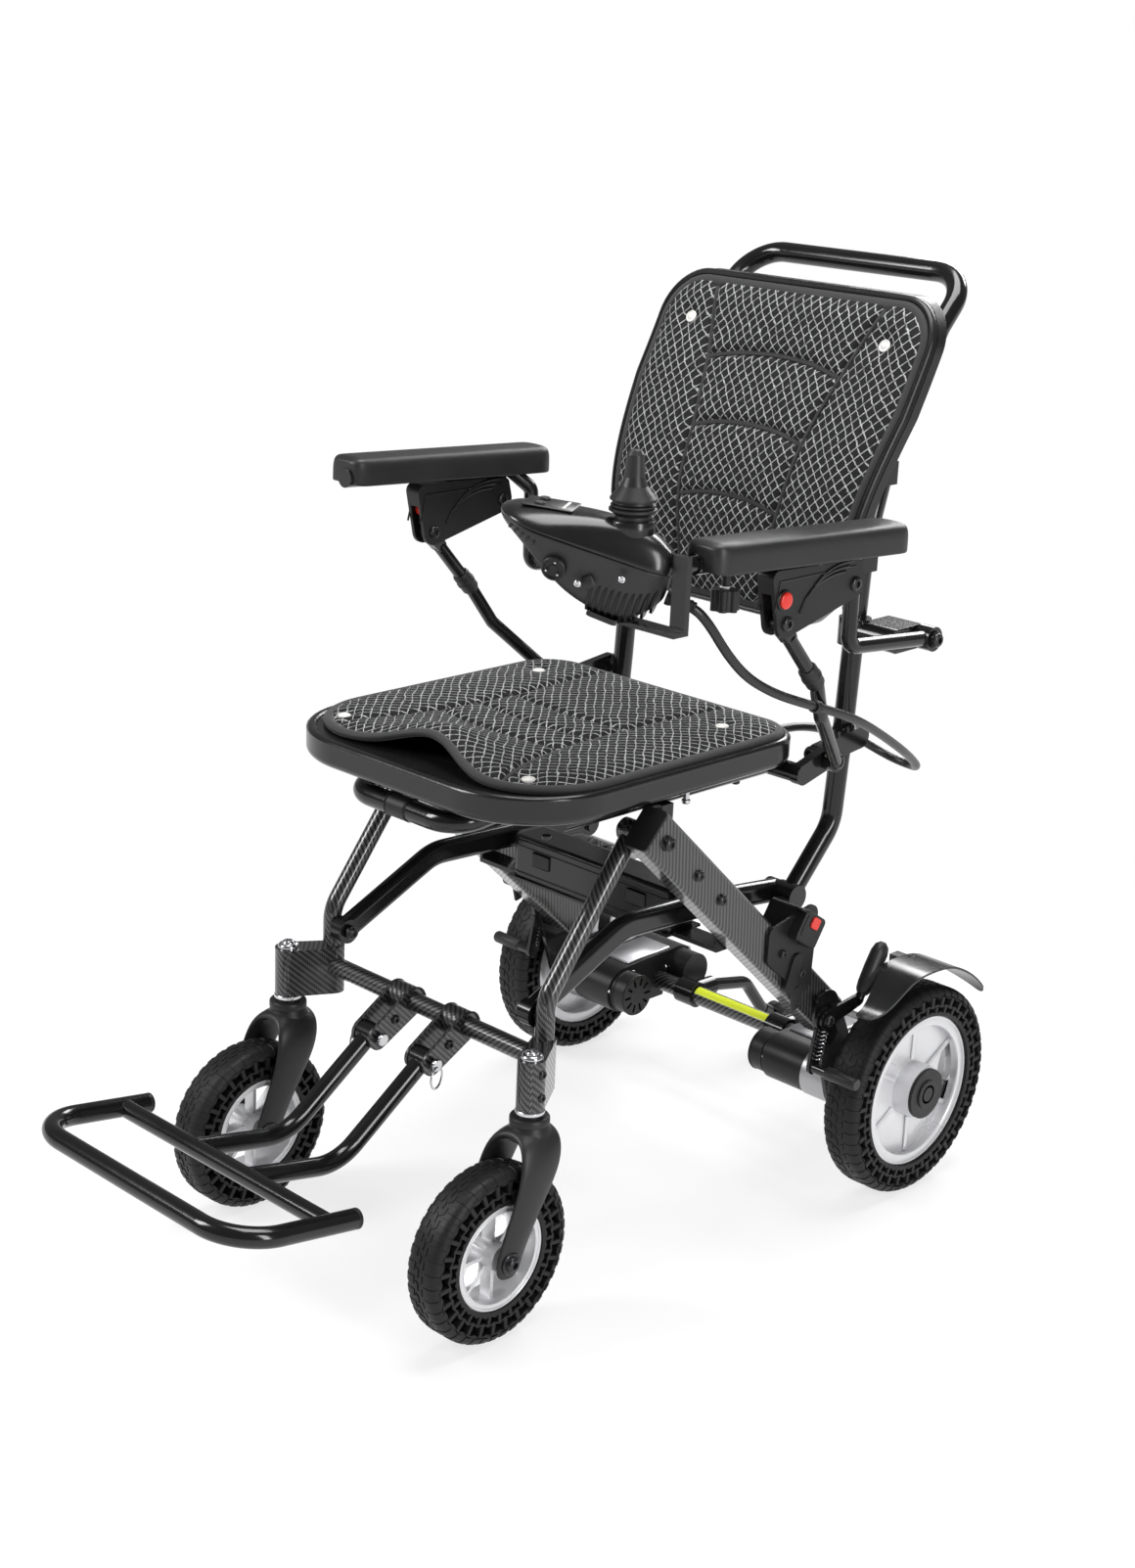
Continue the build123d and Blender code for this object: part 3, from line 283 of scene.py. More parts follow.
def remap(t, v, lo, hi, low=0.0, high=1.0):
    """Value v taken from low..high to lo..hi."""
    n = node(t, "MapRange")
    dial(n, {"From Min": low, "From Max": high, "To Min": lo, "To Max": hi})
    t.links.new(v, n.inputs["Value"])
    return n.outputs[0]


def grey(v, tint=0.0):
    return (v, v, v * (1 + tint))


WORN_EDGE = 0.0006  # radius in metres that hard edges are shaded with
M = {}  # finishes by name


def surface(name, dark, light, rough=(0.35, 0.45), metal=0.0, grain=900.0, depth=0.00004,
            amount=0.3, sheen=0.0, spec=0.5):
    """General finish: two close tones mixed by a cloud, worn a little, with a fine grain."""
    m, t, b = new_mat(name)
    cloud = noise(t, 18.0, 4.0, 0.6)
    t.links.new(mix_color(t, cloud, dark, light), b.inputs["Base Color"])
    t.links.new(remap(t, cloud, *rough, 0.3, 0.7), b.inputs["Roughness"])
    dial(b, {"Metallic": metal, "Specular IOR Level": spec, "Sheen Weight": sheen})
    bump(t, b, noise(t, grain, 2.0, 0.6), amount, depth, WORN_EDGE)
    M[name] = m


surface("black_coat", grey(0.004), grey(0.007), (0.12, 0.19), grain=1400, depth=0.00002,
        amount=0.25)
surface("dark_plastic", grey(0.007), grey(0.012), (0.34, 0.46), grain=1700, amount=0.5,
        spec=0.34)
surface("gloss_plastic", grey(0.006), grey(0.010), (0.18, 0.26), grain=1500, depth=0.00002)
surface("pad", grey(0.009), grey(0.014), (0.38, 0.50), grain=1300, depth=0.00005, amount=0.6,
        spec=0.45)
surface("tyre", grey(0.004), grey(0.010), (0.42, 0.60), grain=700, depth=0.00008, amount=0.6,
        spec=0.3)
surface("rubber", grey(0.006), grey(0.013), (0.44, 0.58))
surface("cable", grey(0.006), grey(0.010), (0.30, 0.40), grain=600)
surface("alloy", grey(0.36, 0.03), grey(0.50, 0.03), (0.30, 0.44), metal=0.9, grain=1500)
surface("rim_silver", grey(0.62, 0.02), grey(0.74, 0.02), (0.26, 0.38), metal=0.4, grain=1500,
        depth=0.00002)
surface("steel", grey(0.55, 0.03), grey(0.68, 0.03), (0.12, 0.24), metal=1.0, grain=500,
        depth=0.00002)
surface("dark_steel", grey(0.03, 0.05), grey(0.06, 0.05), (0.22, 0.34), metal=0.8, grain=700,
        depth=0.00002)
surface("red", (0.62, 0.020, 0.012), (0.72, 0.032, 0.018), (0.25, 0.34))
surface("shell", grey(0.006), grey(0.011), (0.24, 0.36), grain=1700, amount=0.45, spec=0.36)
surface("fork_black", grey(0.012), grey(0.018), (0.36, 0.48), grain=1500, spec=0.36)
surface("case_plastic", grey(0.011), grey(0.017), (0.42, 0.54), grain=1500, depth=0.00005,
        amount=0.6)
surface("piping", grey(0.005), grey(0.012), (0.62, 0.8), grain=1500, depth=0.0001, amount=0.7,
        sheen=0.15)
surface("pearl", (0.60, 0.59, 0.56), (0.75, 0.74, 0.71), (0.2, 0.3), grain=300)
surface("tape", (0.66, 0.76, 0.02), (0.74, 0.84, 0.04), (0.3, 0.4), grain=300)


def carbon(name, tow=0.0017):
    """Twill weave of carbon tows under clear coat, from the weave UV map, in metres."""
    m, t, b = new_mat(name)
    uv = node(t, "UVMap")
    uv.uv_map = "weave"
    sep = node(t, "SeparateXYZ")
    t.links.new(uv.outputs[0], sep.inputs[0])
    u, v = (calc(t, "DIVIDE", sep.outputs[i], tow) for i in (0, 1))
    phase = calc(t, "FLOORED_MODULO",
                 calc(t, "ADD", calc(t, "FLOOR", u), calc(t, "FLOOR", v)), 4.0)
    warp = calc(t, "LESS_THAN", phase, 1.5)
    humps = []
    for way in (u, v):
        off = calc(t, "SUBTRACT", calc(t, "FRACT", way), 0.5)
        humps.append(calc(t, "SUBTRACT", 0.25, calc(t, "MULTIPLY", off, off)))
    height = calc(t, "MULTIPLY", 4.0, calc(
        t, "ADD", calc(t, "MULTIPLY", warp, humps[0]),
        calc(t, "MULTIPLY", calc(t, "SUBTRACT", 1.0, warp), humps[1])))
    # painted highlight: warp tows get a lighter colour than weft tows, standing in for the sheen
    # of light along their fibres
    painted_highlight_tone = mix_color(t, warp, grey(0.006), grey(0.11, 0.03))
    # painted shade: each tow's colour darkens toward its edges, where it dips under its
    # neighbours; the same height also drives the real bump
    t.links.new(mix_color(t, height, grey(0.003), painted_highlight_tone), b.inputs["Base Color"])
    t.links.new(remap(t, warp, 0.40, 0.28), b.inputs["Roughness"])
    dial(b, {"Metallic": 0.55, "Coat Weight": 0.8, "Coat Roughness": 0.08})
    bump(t, b, height, 0.5, 0.0002, WORN_EDGE)
    M[name] = m


carbon("carbon")


def lattice(name, axes, pitch=(0.0120, 0.0132)):
    """Black open mesh with a diamond lattice of silver thread woven on it, metres apart."""
    m, t, b = new_mat(name)
    sep = node(t, "SeparateXYZ")
    t.links.new(coords(t), sep.inputs[0])
    sway = calc(t, "MULTIPLY", calc(t, "SUBTRACT", noise(t, 38.0, 2.0), 0.5), 0.005)
    zig = calc(t, "MULTIPLY", calc(t, "SUBTRACT", noise(t, 330.0, 1.0), 0.5), 0.0016)
    shift = calc(t, "ADD", sway, zig)
    u, v = (calc(t, "DIVIDE", calc(t, "ADD", sep.outputs[axes[i]], shift), pitch[i])
            for i in (0, 1))

    def thread(s):
        off = calc(t, "ABSOLUTE", calc(t, "SUBTRACT", calc(t, "FRACT", s), 0.5))
        return remap(t, off, 1.0, 0.0, 0.035, 0.085)

    lines = calc(t, "MAXIMUM", thread(calc(t, "ADD", u, v)), thread(calc(t, "SUBTRACT", u, v)))
    # the threads' silver is their own colour; their brightness, varied by noise along them, is
    # painted sheen
    thread_painted_sheen = calc(t, "MULTIPLY", lines, remap(t, noise(t, 210.0, 2.0, 0.7), 0.25, 1.25,
                                             0.3, 0.7))
    cells = node(t, "TexVoronoi")
    cells.inputs["Scale"].default_value = 620.0
    t.links.new(coords(t), cells.inputs["Vector"])
    cell = cells.outputs["Distance"]
    ground = mix_color(t, cell, grey(0.002), grey(0.014))
    t.links.new(mix_color(t, thread_painted_sheen, ground, (0.44, 0.445, 0.45)), b.inputs["Base Color"])
    t.links.new(remap(t, lines, 0.82, 0.45), b.inputs["Roughness"])
    b.inputs["Specular IOR Level"].default_value = 0.25
    bump(t, b, calc(t, "ADD", lines, calc(t, "MULTIPLY", cell, 0.4)), 0.8, 0.0007)
    M[name] = m


lattice("cloth_back", (0, 2))
lattice("cloth_seat", (0, 1))


def link(name, mesh, mat, body, sharp=38):
    """Finished piece that rides on a body; edges over sharp degrees stay hard."""
    o = put(name, mesh)
    mesh.materials.append(M[mat])
    for p in mesh.polygons:
        p.use_smooth = True
    mesh.set_sharp_from_angle(angle=radians(sharp))
    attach(o, body)
    return o


def outward(mesh, hard_over=None):
    """Turn all normals outward; edges over hard_over radians keep firm when subdivided."""
    bm = bmesh.new()
    bm.from_mesh(mesh)
    if hard_over:
        hard = bm.edges.layers.float.new("crease_edge")
        for e in bm.edges:
            if e.is_manifold and e.calc_face_angle(0) > hard_over:
                e[hard] = 0.6
    bmesh.ops.recalc_face_normals(bm, faces=bm.faces)
    bm.to_mesh(mesh)
    bm.free()


class Kit:
    """Fittings of one body and finish, gathered in one mesh. Points are in millimetres."""
    made = {}

    def __init__(self, name, body, mat):
        self.name, self.body, self.mat = name, body, mat
        self.verts, self.faces = [], []

    def rings(self, rings, caps=True, loop=False):
        """Skin over rings of equally many points."""
        base, n = len(self.verts), len(rings[0])
        for ring in rings:
            self.verts.extend(P(*p) for p in ring)
        count = len(rings)
        for i in range(count if loop else count - 1):
            a, b = base + i * n, base + (i + 1) % count * n
            for k in range(n):
                j = (k + 1) % n
                self.faces.append((a + k, a + j, b + j, b + k))
        if caps and not loop:
            self.faces.append(tuple(base + k for k in reversed(range(n))))
            self.faces.append(tuple(base + (count - 1) * n + k for k in range(n)))

    def lathe(self, base, axis, profile, n=28, hexed=0):
        """Solid of revolution: (along, radius) steps; the last hexed steps have six sides."""
        base, axis = Vector(base), Vector(axis).normalized()
        a = axis.orthogonal().normalized()
        b = axis.cross(a)
        rings = []
        for i, (along, r) in enumerate(profile):
            ring = []
            for t in around(n):
                q = r
                if i >= len(profile) - hexed:
                    q = r * cos(pi / 6) / cos((t % (pi / 3)) - pi / 6)
                ring.append(base + axis * along + (a * cos(t) + b * sin(t)) * q)
            rings.append(ring)
        self.rings(rings)

    def bolt(self, at, axis, r, h):
        """Button head with a hexagonal socket."""
        self.lathe(at, axis, [(-1, r * 0.98), (h * 0.35, r), (h * 0.8, r * 0.86),
                              (h, r * 0.66), (h, r * 0.5), (h - 0.1, r * 0.46),
                              (h * 0.25, r * 0.44)], 24, 2)

    def tube(self, points, r, n=12, loop=False, flat=1.0, up=None):
        """Tube along points, flat times as thick along up as across."""
        points = [Vector(p) for p in points]
        count = len(points)
        rings, last = [], None
        for i, p in enumerate(points):
            before = points[i - 1] if i or loop else p
            after = points[(i + 1) % count] if i < count - 1 or loop else p
            way = (after - before).normalized()
            ref = Vector(up) if up is not None else (last or way.orthogonal())
            a = (ref - way * ref.dot(way)).normalized()
            last = a
            b = way.cross(a)
            q = r[i] if isinstance(r, (list, tuple)) else r
            rings.append([p + (a * cos(t) * flat + b * sin(t)) * q for t in around(n)])
        self.rings(rings, loop=loop)

    def box(self, centre, size, axes=(X_AXIS, (0, 1, 0), Z_AXIS), round_by=1.0):
        """Box about a centre, its edges chamfered."""
        centre = Vector(centre)
        a, b, c = (Vector(x).normalized() for x in axes)
        hx, hy, hz = (s / 2 for s in size)
        rings = []
        for z, inset in ((-hz, round_by), (-hz + round_by, 0), (hz - round_by, 0),
                         (hz, round_by)):
            x, y, k = hx - inset, hy - inset, round_by
            rings.append([centre + a * p + b * q + c * z for p, q in (
                (x - k, -y), (x, -y + k), (x, y - k), (x - k, y), (-x + k, y), (-x, y - k),
                (-x, -y + k), (-x + k, -y))])
        self.rings(rings)

    def link(self):
        mesh = bpy.data.meshes.new(self.name)
        mesh.from_pydata(self.verts, [], self.faces)
        mesh.validate()
        outward(mesh)
        return link(self.name, mesh, self.mat, self.body)

    def skin(self, node=None, hard_over=None):
        """Piece of its own, smoothed by two subdivisions, for a CAD node if one is given."""
        mesh = bpy.data.meshes.new(self.name)
        mesh.from_pydata(self.verts, [], self.faces)
        outward(mesh, hard_over)
        rough = put(self.name, mesh)
        m = rough.modifiers.new("round", "SUBSURF")
        m.levels = m.render_levels = 2
        mesh = applied(rough)
        bpy.data.objects.remove(rough)
        o = link(self.name, mesh, self.mat, self.body, 60)
        if node:
            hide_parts(node)
        return o


def kit(name, body, mat):
    if name not in Kit.made:
        Kit.made[name] = Kit(name, body, mat)
    return Kit.made[name]


def kit_of(hand, name, body, mat):
    """Kit of one side, whose name and body start with that hand."""
    return kit(f"{hand}_{name}", f"{hand}_{body}", mat)


def spline(points, steps=8, loop=False):
    """Points of a smooth line through the given ones."""
    points = [Vector(p) for p in points]
    n = len(points)
    out = []
    for i in range(n if loop else n - 1):
        p0, p1, p2, p3 = (points[j % n] if loop else points[min(max(j, 0), n - 1)]
                          for j in (i - 1, i, i + 1, i + 2))
        for s in range(steps):
            t = s / steps
            out.append(0.5 * (2 * p1 + (p2 - p0) * t + (2 * p0 - 5 * p1 + 4 * p2 - p3) * t * t
                              + (3 * p1 - p0 - 3 * p2 + p3) * t ** 3))
    return out if loop else out + [points[-1]]


def outline(corners, gap=6.0):
    """Closed outline of (u, v, radius) corners as evenly spaced 2D points."""
    out = []
    n = len(corners)
    for i, (u, v, r) in enumerate(corners):
        c = Vector((u, v))
        a = (Vector(corners[i - 1][:2]) - c).normalized()
        b = (Vector(corners[(i + 1) % n][:2]) - c).normalized()
        half = a.angle(b) / 2
        mid = c + (a + b).normalized() * (r / sin(half))
        p, q = c + a * (r / tan(half)) - mid, c + b * (r / tan(half)) - mid
        t0 = atan2(p.y, p.x)
        step = (atan2(q.y, q.x) - t0 + pi) % (2 * pi) - pi
        out += [mid + Vector((cos(t0 + step * k / 12), sin(t0 + step * k / 12))) * r
                for k in range(13)]
    dense = []
    for p, q in zip(out, out[1:] + out[:1]):
        m = max(1, int((q - p).length / gap))
        dense += [p.lerp(q, k / m) for k in range(m)]
    return dense


def mirrored(corners):
    """Closed outline of those corners of its right half and their mirror images."""
    return outline(corners + [(-u, v, r) for u, v, r in reversed(corners)])


def inward(path):
    """Unit normals of a closed 2D outline, toward its middle."""
    n = len(path)
    area = sum(path[i].x * path[(i + 1) % n].y - path[(i + 1) % n].x * path[i].y
               for i in range(n))
    sign = 1 if area > 0 else -1
    out = []
    for i in range(n):
        t = (path[(i + 1) % n] - path[i - 1]).normalized()
        out.append(Vector((-t.y, t.x)) * sign)
    return out


# ---- Carried-over CAD nodes: finishes, and the weave's coordinates ----
def weave_uv(o, lines=()):
    """Weave map in metres: round the tubes given as (point, point, radius) lines, else flat."""
    me = o.data
    uv = me.uv_layers.get("weave") or me.uv_layers.new(name="weave")
    co = np.empty(len(me.vertices) * 3)
    me.vertices.foreach_get("co", co)
    co = co.reshape(-1, 3)
    runs = [(np.array(a), np.array(b), r) for a, b, r in lines]
    for p in me.polygons:
        mid, normal = np.array(p.center), np.array(p.normal)
        best = None
        for k, (a, b, r) in enumerate(runs):
            way = (b - a) / np.linalg.norm(b - a)
            t = (mid - a) @ way
            if -0.012 < t < np.linalg.norm(b - a) + 0.012:
                off = mid - a - way * t
                if abs(np.linalg.norm(off) - r) < 0.0025 and abs(normal @ way) < 0.5:
                    best = (a, way, r, k)
        if best:
            a, way, r, k = best
            x = np.cross(way, (0, 0.3, 1))
            x /= np.linalg.norm(x)
            y = np.cross(way, x)
            mid_turn = np.arctan2((mid - a) @ y, (mid - a) @ x)
            for li in p.loop_indices:
                c = co[me.loops[li].vertex_index] - a
                t = np.arctan2(c @ y, c @ x)
                t = mid_turn + (t - mid_turn + pi) % (2 * pi) - pi
                uv.data[li].uv = (t * r, c @ way)
        else:
            k = int(np.argmax(np.abs(normal)))
            i, j = [(1, 2), (0, 2), (0, 1)][k]
            for li in p.loop_indices:
                c = co[me.loops[li].vertex_index]
                if o.name == "side_beams":  # along and across the beam
                    c = (c[0], c[1] * cos(TILT) - c[2] * sin(TILT),
                         c[1] * sin(TILT) + c[2] * cos(TILT))
                uv.data[li].uv = (c[i], c[j])


stem_top = 2 * CASTER_R + 8 + 20 + 12 + 6  # clearance, crown, neck and collar over the caster
leg_y = STEM_Y + 39.4
leg_pivot = on_beam(20)
leg_lines = []
for s, _ in reversed(HANDS):
    foot, knee = P(s * LEG_X, leg_y, stem_top + 38), P(s * LEG_X, leg_y, stem_top + 91)
    leg_lines += [(foot, knee, 0.0095), (knee, P(s * LEG_X, *leg_pivot), 0.0095)]
leg_lines.append((P(-LEG_X, leg_y - 2, stem_top + 30), P(LEG_X, leg_y - 2, stem_top + 30), 0.010))
tube_lines = {"front_frame": leg_lines,
              "axle_tube": [(P(-118, *AXLE_TUBE), P(118, *AXLE_TUBE), 0.011)]}
slots = {s["node"]: s["material_slot"] for s in frame["record"]["subparts"]}
finish = {"controller_body": "gloss_plastic", "joystick_knob": "pad", "seat_pan": "gloss_plastic",
          "fenders": "gloss_plastic", "left_fork": "fork_black", "right_fork": "fork_black",
          "battery_case": "gloss_plastic", "backrest_shell": "shell"}
for name, o in nodes.items():
    key = finish.get(name, slots[name])
    if key == "carbon":
        weave_uv(o, tube_lines.get(name, ()))
    o.data.materials.clear()
    o.data.materials.append(M[key if key in M else "dark_plastic"])


# ---- Seat and back mats ----------------------------------------------
PAD_VOXEL = 0.005  # metres
PAD_PRESSURE, PAD_FRAMES = 4.0, 20
PAD_SWELL = 8.0  # millimetres that a point may move at most
PINNED_SEAM, PINNED_EDGE = 3.6, 2.6  # millimetres to either side


def near_line(points, line):
    """Distance of each point to a polyline, both 2D."""
    best = np.full(len(points), 1e9)
    for a, b in zip(line[:-1], line[1:]):
        d = b - a
        t = np.clip(((points - a) @ d) / (d @ d), 0, 1)
        best = np.minimum(best, np.hypot(*(points - a - t[:, None] * d).T))
    return best


def stuffed(edge, thick, pins):
    """Flat pad of that outline, swelled by cloth pressure and held down along its seams:
    a mesh in metres whose x, y and z are across, along and thickness."""
    me = bpy.data.meshes.new("pad")
    n = len(edge)
    low = [(p.x / 1000, p.y / 1000, 0) for p in edge]
    high = [(x, y, thick / 1000) for x, y, _ in low]
    me.from_pydata(low + high, [], [tuple(reversed(range(n))), tuple(range(n, 2 * n))]
                   + [(k, (k + 1) % n, n + (k + 1) % n, n + k) for k in range(n)])
    o = put("pad", me)
    m = o.modifiers.new("voxels", "REMESH")
    m.mode = "VOXEL"
    m.voxel_size = PAD_VOXEL

    def settle():
        new = applied(o)
        o.modifiers.clear()
        o.data = new
        return new

    me = settle()
    rest = np.array([v.co[:] for v in me.vertices]) * 1000
    edge_line = np.array([tuple(p) for p in edge + edge[:1]])
    rim = near_line(rest[:, :2], edge_line)
    held = np.minimum.reduce([near_line(rest[:, :2], line) for line in pins])
    group = o.vertex_groups.new(name="held")
    fixed = (held < PINNED_SEAM) | (rim < PINNED_EDGE)
    group.add([int(i) for i in np.nonzero(fixed)[0]], 1.0, "REPLACE")
    cloth = o.modifiers.new("cloth", "CLOTH")
    cs = cloth.settings
    cs.vertex_group_mass = "held"
    cs.use_pressure = True
    cs.uniform_pressure_force = PAD_PRESSURE
    cs.effector_weights.gravity = 0
    cs.quality = 4
    cs.tension_stiffness = 12
    cs.bending_stiffness = 0.4
    cloth.collision_settings.use_self_collision = False
    for f in range(1, PAD_FRAMES + 1):
        bpy.context.scene.frame_set(f)
    me = settle()
    bpy.context.scene.frame_set(1)
    co = np.array([v.co[:] for v in me.vertices]) * 1000
    move = co - rest
    size = np.linalg.norm(move, axis=1)
    co = rest + move * np.minimum(1, PAD_SWELL / np.maximum(size, 1e-6))[:, None]
    me.vertices.foreach_set("co", (co / 1000).ravel())
    m = o.modifiers.new("fine", "SUBSURF")
    m.levels = m.render_levels = 1
    me = settle()
    bpy.data.objects.remove(o)
    return me


def rolled_edge(made, edge, place, across, high, n=16):
    """Rolled edge along an outline: (inset, half width) across it and (level, half height)."""
    made.rings([[place(p.x + q.x * (across[0] + across[1] * cos(t)),
                       p.y + q.y * (across[0] + across[1] * cos(t)), high[0] + high[1] * sin(t))
                 for t in around(n)] for p, q in zip(edge, inward(edge))], loop=True)


def mat(name, edge, thick, seams, snaps, place, body, node, finish, fill):
    """Padded mat: swelled panels between sewn seams, bound edge, and snaps that hold it."""
    edge_line = np.array([tuple(p) for p in edge + edge[:1]])
    lines = [np.array(s, float) for s in seams]
    me = stuffed(edge, thick, lines)
    co = np.array([v.co[:] for v in me.vertices]) * 1000
    flat = co[:, :2]
    rim = near_line(flat, edge_line)
    ease = np.clip(rim / 26, 0, 1)
    top = np.clip(co[:, 2] / thick, 0, 1.6)
    co[:, 2] = np.maximum(co[:, 2], 0) * (0.42 + 0.58 * ease * (2 - ease))
    crease = np.zeros(len(co))
    for line in lines:
        crease = np.maximum(crease, np.exp(-(near_line(flat, line) / 3.6) ** 2))
    for u, v in snaps:
        crease = np.maximum(crease, 0.8 * np.exp(-(np.hypot(flat[:, 0] - u, flat[:, 1] - v)
                                                   / 11) ** 2))
    co[:, 2] -= np.minimum(crease * 6.5, co[:, 2] * 0.55) * np.clip(top * 1.5 - 0.4, 0, 1)

    def height(u, v, reach=5):
        near = (np.hypot(flat[:, 0] - u, flat[:, 1] - v) < reach) & (top > 0.6)
        return float(co[near, 2].mean()) if near.any() else thick * 0.5

    for p, (u, v, w) in zip(me.vertices, co):
        p.co = P(*place(u, v, w))
    o = link(name, me, finish, body, 180)
    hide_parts(node)

    # the bound edge, the sewn channels and the snaps ride with the mat
    bound = kit(name + "_binding", body, "piping")
    rolled_edge(bound, edge, place, (4.5, 6.5), (thick * 0.30, 4.4), 14)
    channel = kit(name + "_channels", body, "piping")
    for line in lines:
        dense = spline([Vector((u, v, 0)) for u, v in line], 12)
        rings = []
        for i, p in enumerate(dense):
            way = (dense[min(i + 1, len(dense) - 1)] - dense[max(i - 1, 0)]).normalized()
            q = Vector((-way.y, way.x))
            w = height(p.x, p.y)
            rings.append([place(p.x + q.x * 2.3 * cos(t), p.y + q.y * 2.3 * cos(t),
                                w + 0.5 + 0.9 * sin(t)) for t in around(8)])
        channel.rings(rings)
    studs = kit(name + "_snaps", body, "pearl")
    for u, v in snaps:
        w = height(u, v, 8)
        base, tip = Vector(place(u, v, w - 1)), Vector(place(u, v, w + 6))
        studs.lathe(base, tip - base, [(0, 6.6), (2.0, 6.9), (2.9, 6.2), (2.9, 5.4), (2.4, 5.0),
                                       (2.5, 4.2), (3.2, 3.0), (3.7, 1.4), (3.8, 0.2)], 24)
    return o


def natural_spline(xs, ys):
    """Smooth curve through points, as a function of x."""
    xs, ys = np.array(xs, float), np.array(ys, float)
    h = np.diff(xs)
    n = len(xs)
    a, r = np.eye(n), np.zeros(n)
    for i in range(1, n - 1):
        a[i, i - 1:i + 2] = h[i - 1], 2 * (h[i - 1] + h[i]), h[i]
        r[i] = 6 * ((ys[i + 1] - ys[i]) / h[i] - (ys[i] - ys[i - 1]) / h[i - 1])
    m = np.linalg.solve(a, r)

    def value(x):
        i = int(min(max(np.searchsorted(xs, x) - 1, 0), n - 2))
        p, q = (xs[i + 1] - x), (x - xs[i])
        return float((m[i] * p ** 3 + m[i + 1] * q ** 3) / (6 * h[i])
                     + (ys[i] / h[i] - m[i] * h[i] / 6) * p
                     + (ys[i + 1] / h[i] - m[i + 1] * h[i] / 6) * q)

    return value


back_face = natural_spline((0, 38, 111, 212, 285, 302, 338), (-76, -76, -72, -31, 7, 15, 33))
BACK_LOW = SEAT_Z + 115


def back_place(u, v, w):
    """Place on the back rest: across, height over its low edge, and thickness to the front."""
    slope = (back_face(v + 2) - back_face(v - 2)) / 4
    k = 1 / np.hypot(1, slope)
    return (u, back_face(v) + 15.8 - w * k, BACK_LOW + v + w * slope * k)


def seat_place(u, v, w):
    """Place on the seat: across, along, and up. The mat's front edge rises off the pan."""
    front = min(max((v + 395) / -122, 0), 1)
    hump = np.exp(-((u - 12) / 58) ** 2) * front * front * (3 - 2 * front)
    return (u, v + 20 * hump, PAN_TOP + 0.6 + 22 * hump + w)


back_corners = [(112, 9, 26), (141, 38, 26), (163, 100, 30), (179, 222, 60), (179, 329, 46)]
back_edge = mirrored(back_corners)
back_seams = [[(s * 55, 14), (s * 62, 70), (s * 70, 115), (s * 76, 183), (s * 92, 250),
               (s * 117, 325)] for s in (-1, 1)]
back_seams += [[(-90, 248), (-50, 256), (0, 259), (50, 256), (90, 247)],
               [(-74, 180), (-38, 187), (0, 189), (38, 187), (75, 179)],
               [(-69, 110), (-34, 117), (0, 119), (34, 117), (69, 109)]]
back_snaps = [(s * 133, v) for s in (-1, 1) for v in (284, 92)]
mat("back_mat", back_edge, 13, back_seams, back_snaps, back_place, "back_frame",
    "backrest_cushion", "cloth_back", 0.6)
seat_corners = [(180, -138, 46), (180, -513, 92)]
seat_edge = mirrored(seat_corners)
seat_seams = [[(s * 118, -500), (s * 96, -440), (s * 84, -380), (s * 80, -290),
               (s * 88, -150)] for s in (-1, 1)]
seat_seams += [[(-86, v), (-40, v - 6), (0, v - 8), (40, v - 6), (86, v)]
               for v in (-392, -342, -292)]
seat_snaps = [(s * 132, v) for s in (-1, 1) for v in (-479, -205)]
mat("seat_mat", seat_edge, 12, seat_seams, seat_snaps, seat_place, "rear_frame",
    "seat_cushion", "cloth_seat", 0.5)

# rolled lips of the two shells that hold the mats
lip = kit("back_shell_lip", "back_frame", "shell")
lip_corners = [(116, 1, 28), (149, 31, 28), (171, 95, 30), (187, 222, 60), (187, 338, 52)]
rolled_edge(lip, mirrored(lip_corners), back_place, (4.2, 4.6), (-2, 9.5))
lip = kit("seat_pan_lip", "rear_frame", "gloss_plastic")
pan_corners = [(188, -130, 52), (188, -535, 100)]
rolled_edge(lip, mirrored(pan_corners), lambda *place: place, (5.2, 5.4), (PAN_TOP - 1.5, 4.6))


# ---- Arm pads --------------------------------------------------------
def arm_point(y, lift=0.0):
    """Point over the left arm tube, which slopes a little."""
    return Vector((242.0, y, ARM_Z + (-184 - y) * tan(radians(2.7)) + lift))


def arm_pad(side, hand):
    """Moulded pad: flat underside, crowned top, rounded in plan at both ends."""
    made = Kit(hand + "_arm_cushion", hand + "_arm", "pad")
    front, rear, half, mid = -386.5, -101.0, 24.6, 248.0
    steps = [0, 0.8, 2.4, 5, 8.5, 13, 18, 26, 40, 70, 110]
    rows = [front + s for s in steps] + [rear - s for s in reversed(steps)]
    section = [(-1, -7), (-1.0, -2), (-1, 6), (-0.985, 13), (-0.93, 17.6), (-0.83, 20.4),
               (-0.66, 21.6), (-0.35, 22.2), (0, 22.4)]
    section += [(-x, z) for x, z in reversed(section[:-1])]
    rings = []
    for y in rows:
        near = min(y - front, rear - y)
        bend = min(near / 20, 1)
        wide = half * (0.50 + 0.50 * (1 - (1 - bend) ** 2.4) ** (1 / 2.4))
        drop = 5.5 * (1 - min(near / 9, 1)) ** 2
        rings.append([])
        for x, z in section:
            p = arm_point(y, z - drop if z > 0 else z + drop * 0.3)
            rings[-1].append((side * (mid + x * wide), p.y, p.z))
    made.rings(rings)
    o = made.skin(hand + "_arm_pad", hard_over=1.2)
    screws = kit_of(hand, "arm_screws", "arm", "dark_steel")
    for y in (-350, -235):
        p = arm_point(y, -7.2)
        screws.bolt((side * (mid + 15), p.y, p.z), (0, 0, -1), 4.2, 2.6)


for s, hand in reversed(HANDS):
    arm_pad(s, hand)


# ---- Fittings on both sides ------------------------------------------
for o in (cable_upper, cable_lower):
    o.data.materials.append(M["cable"])


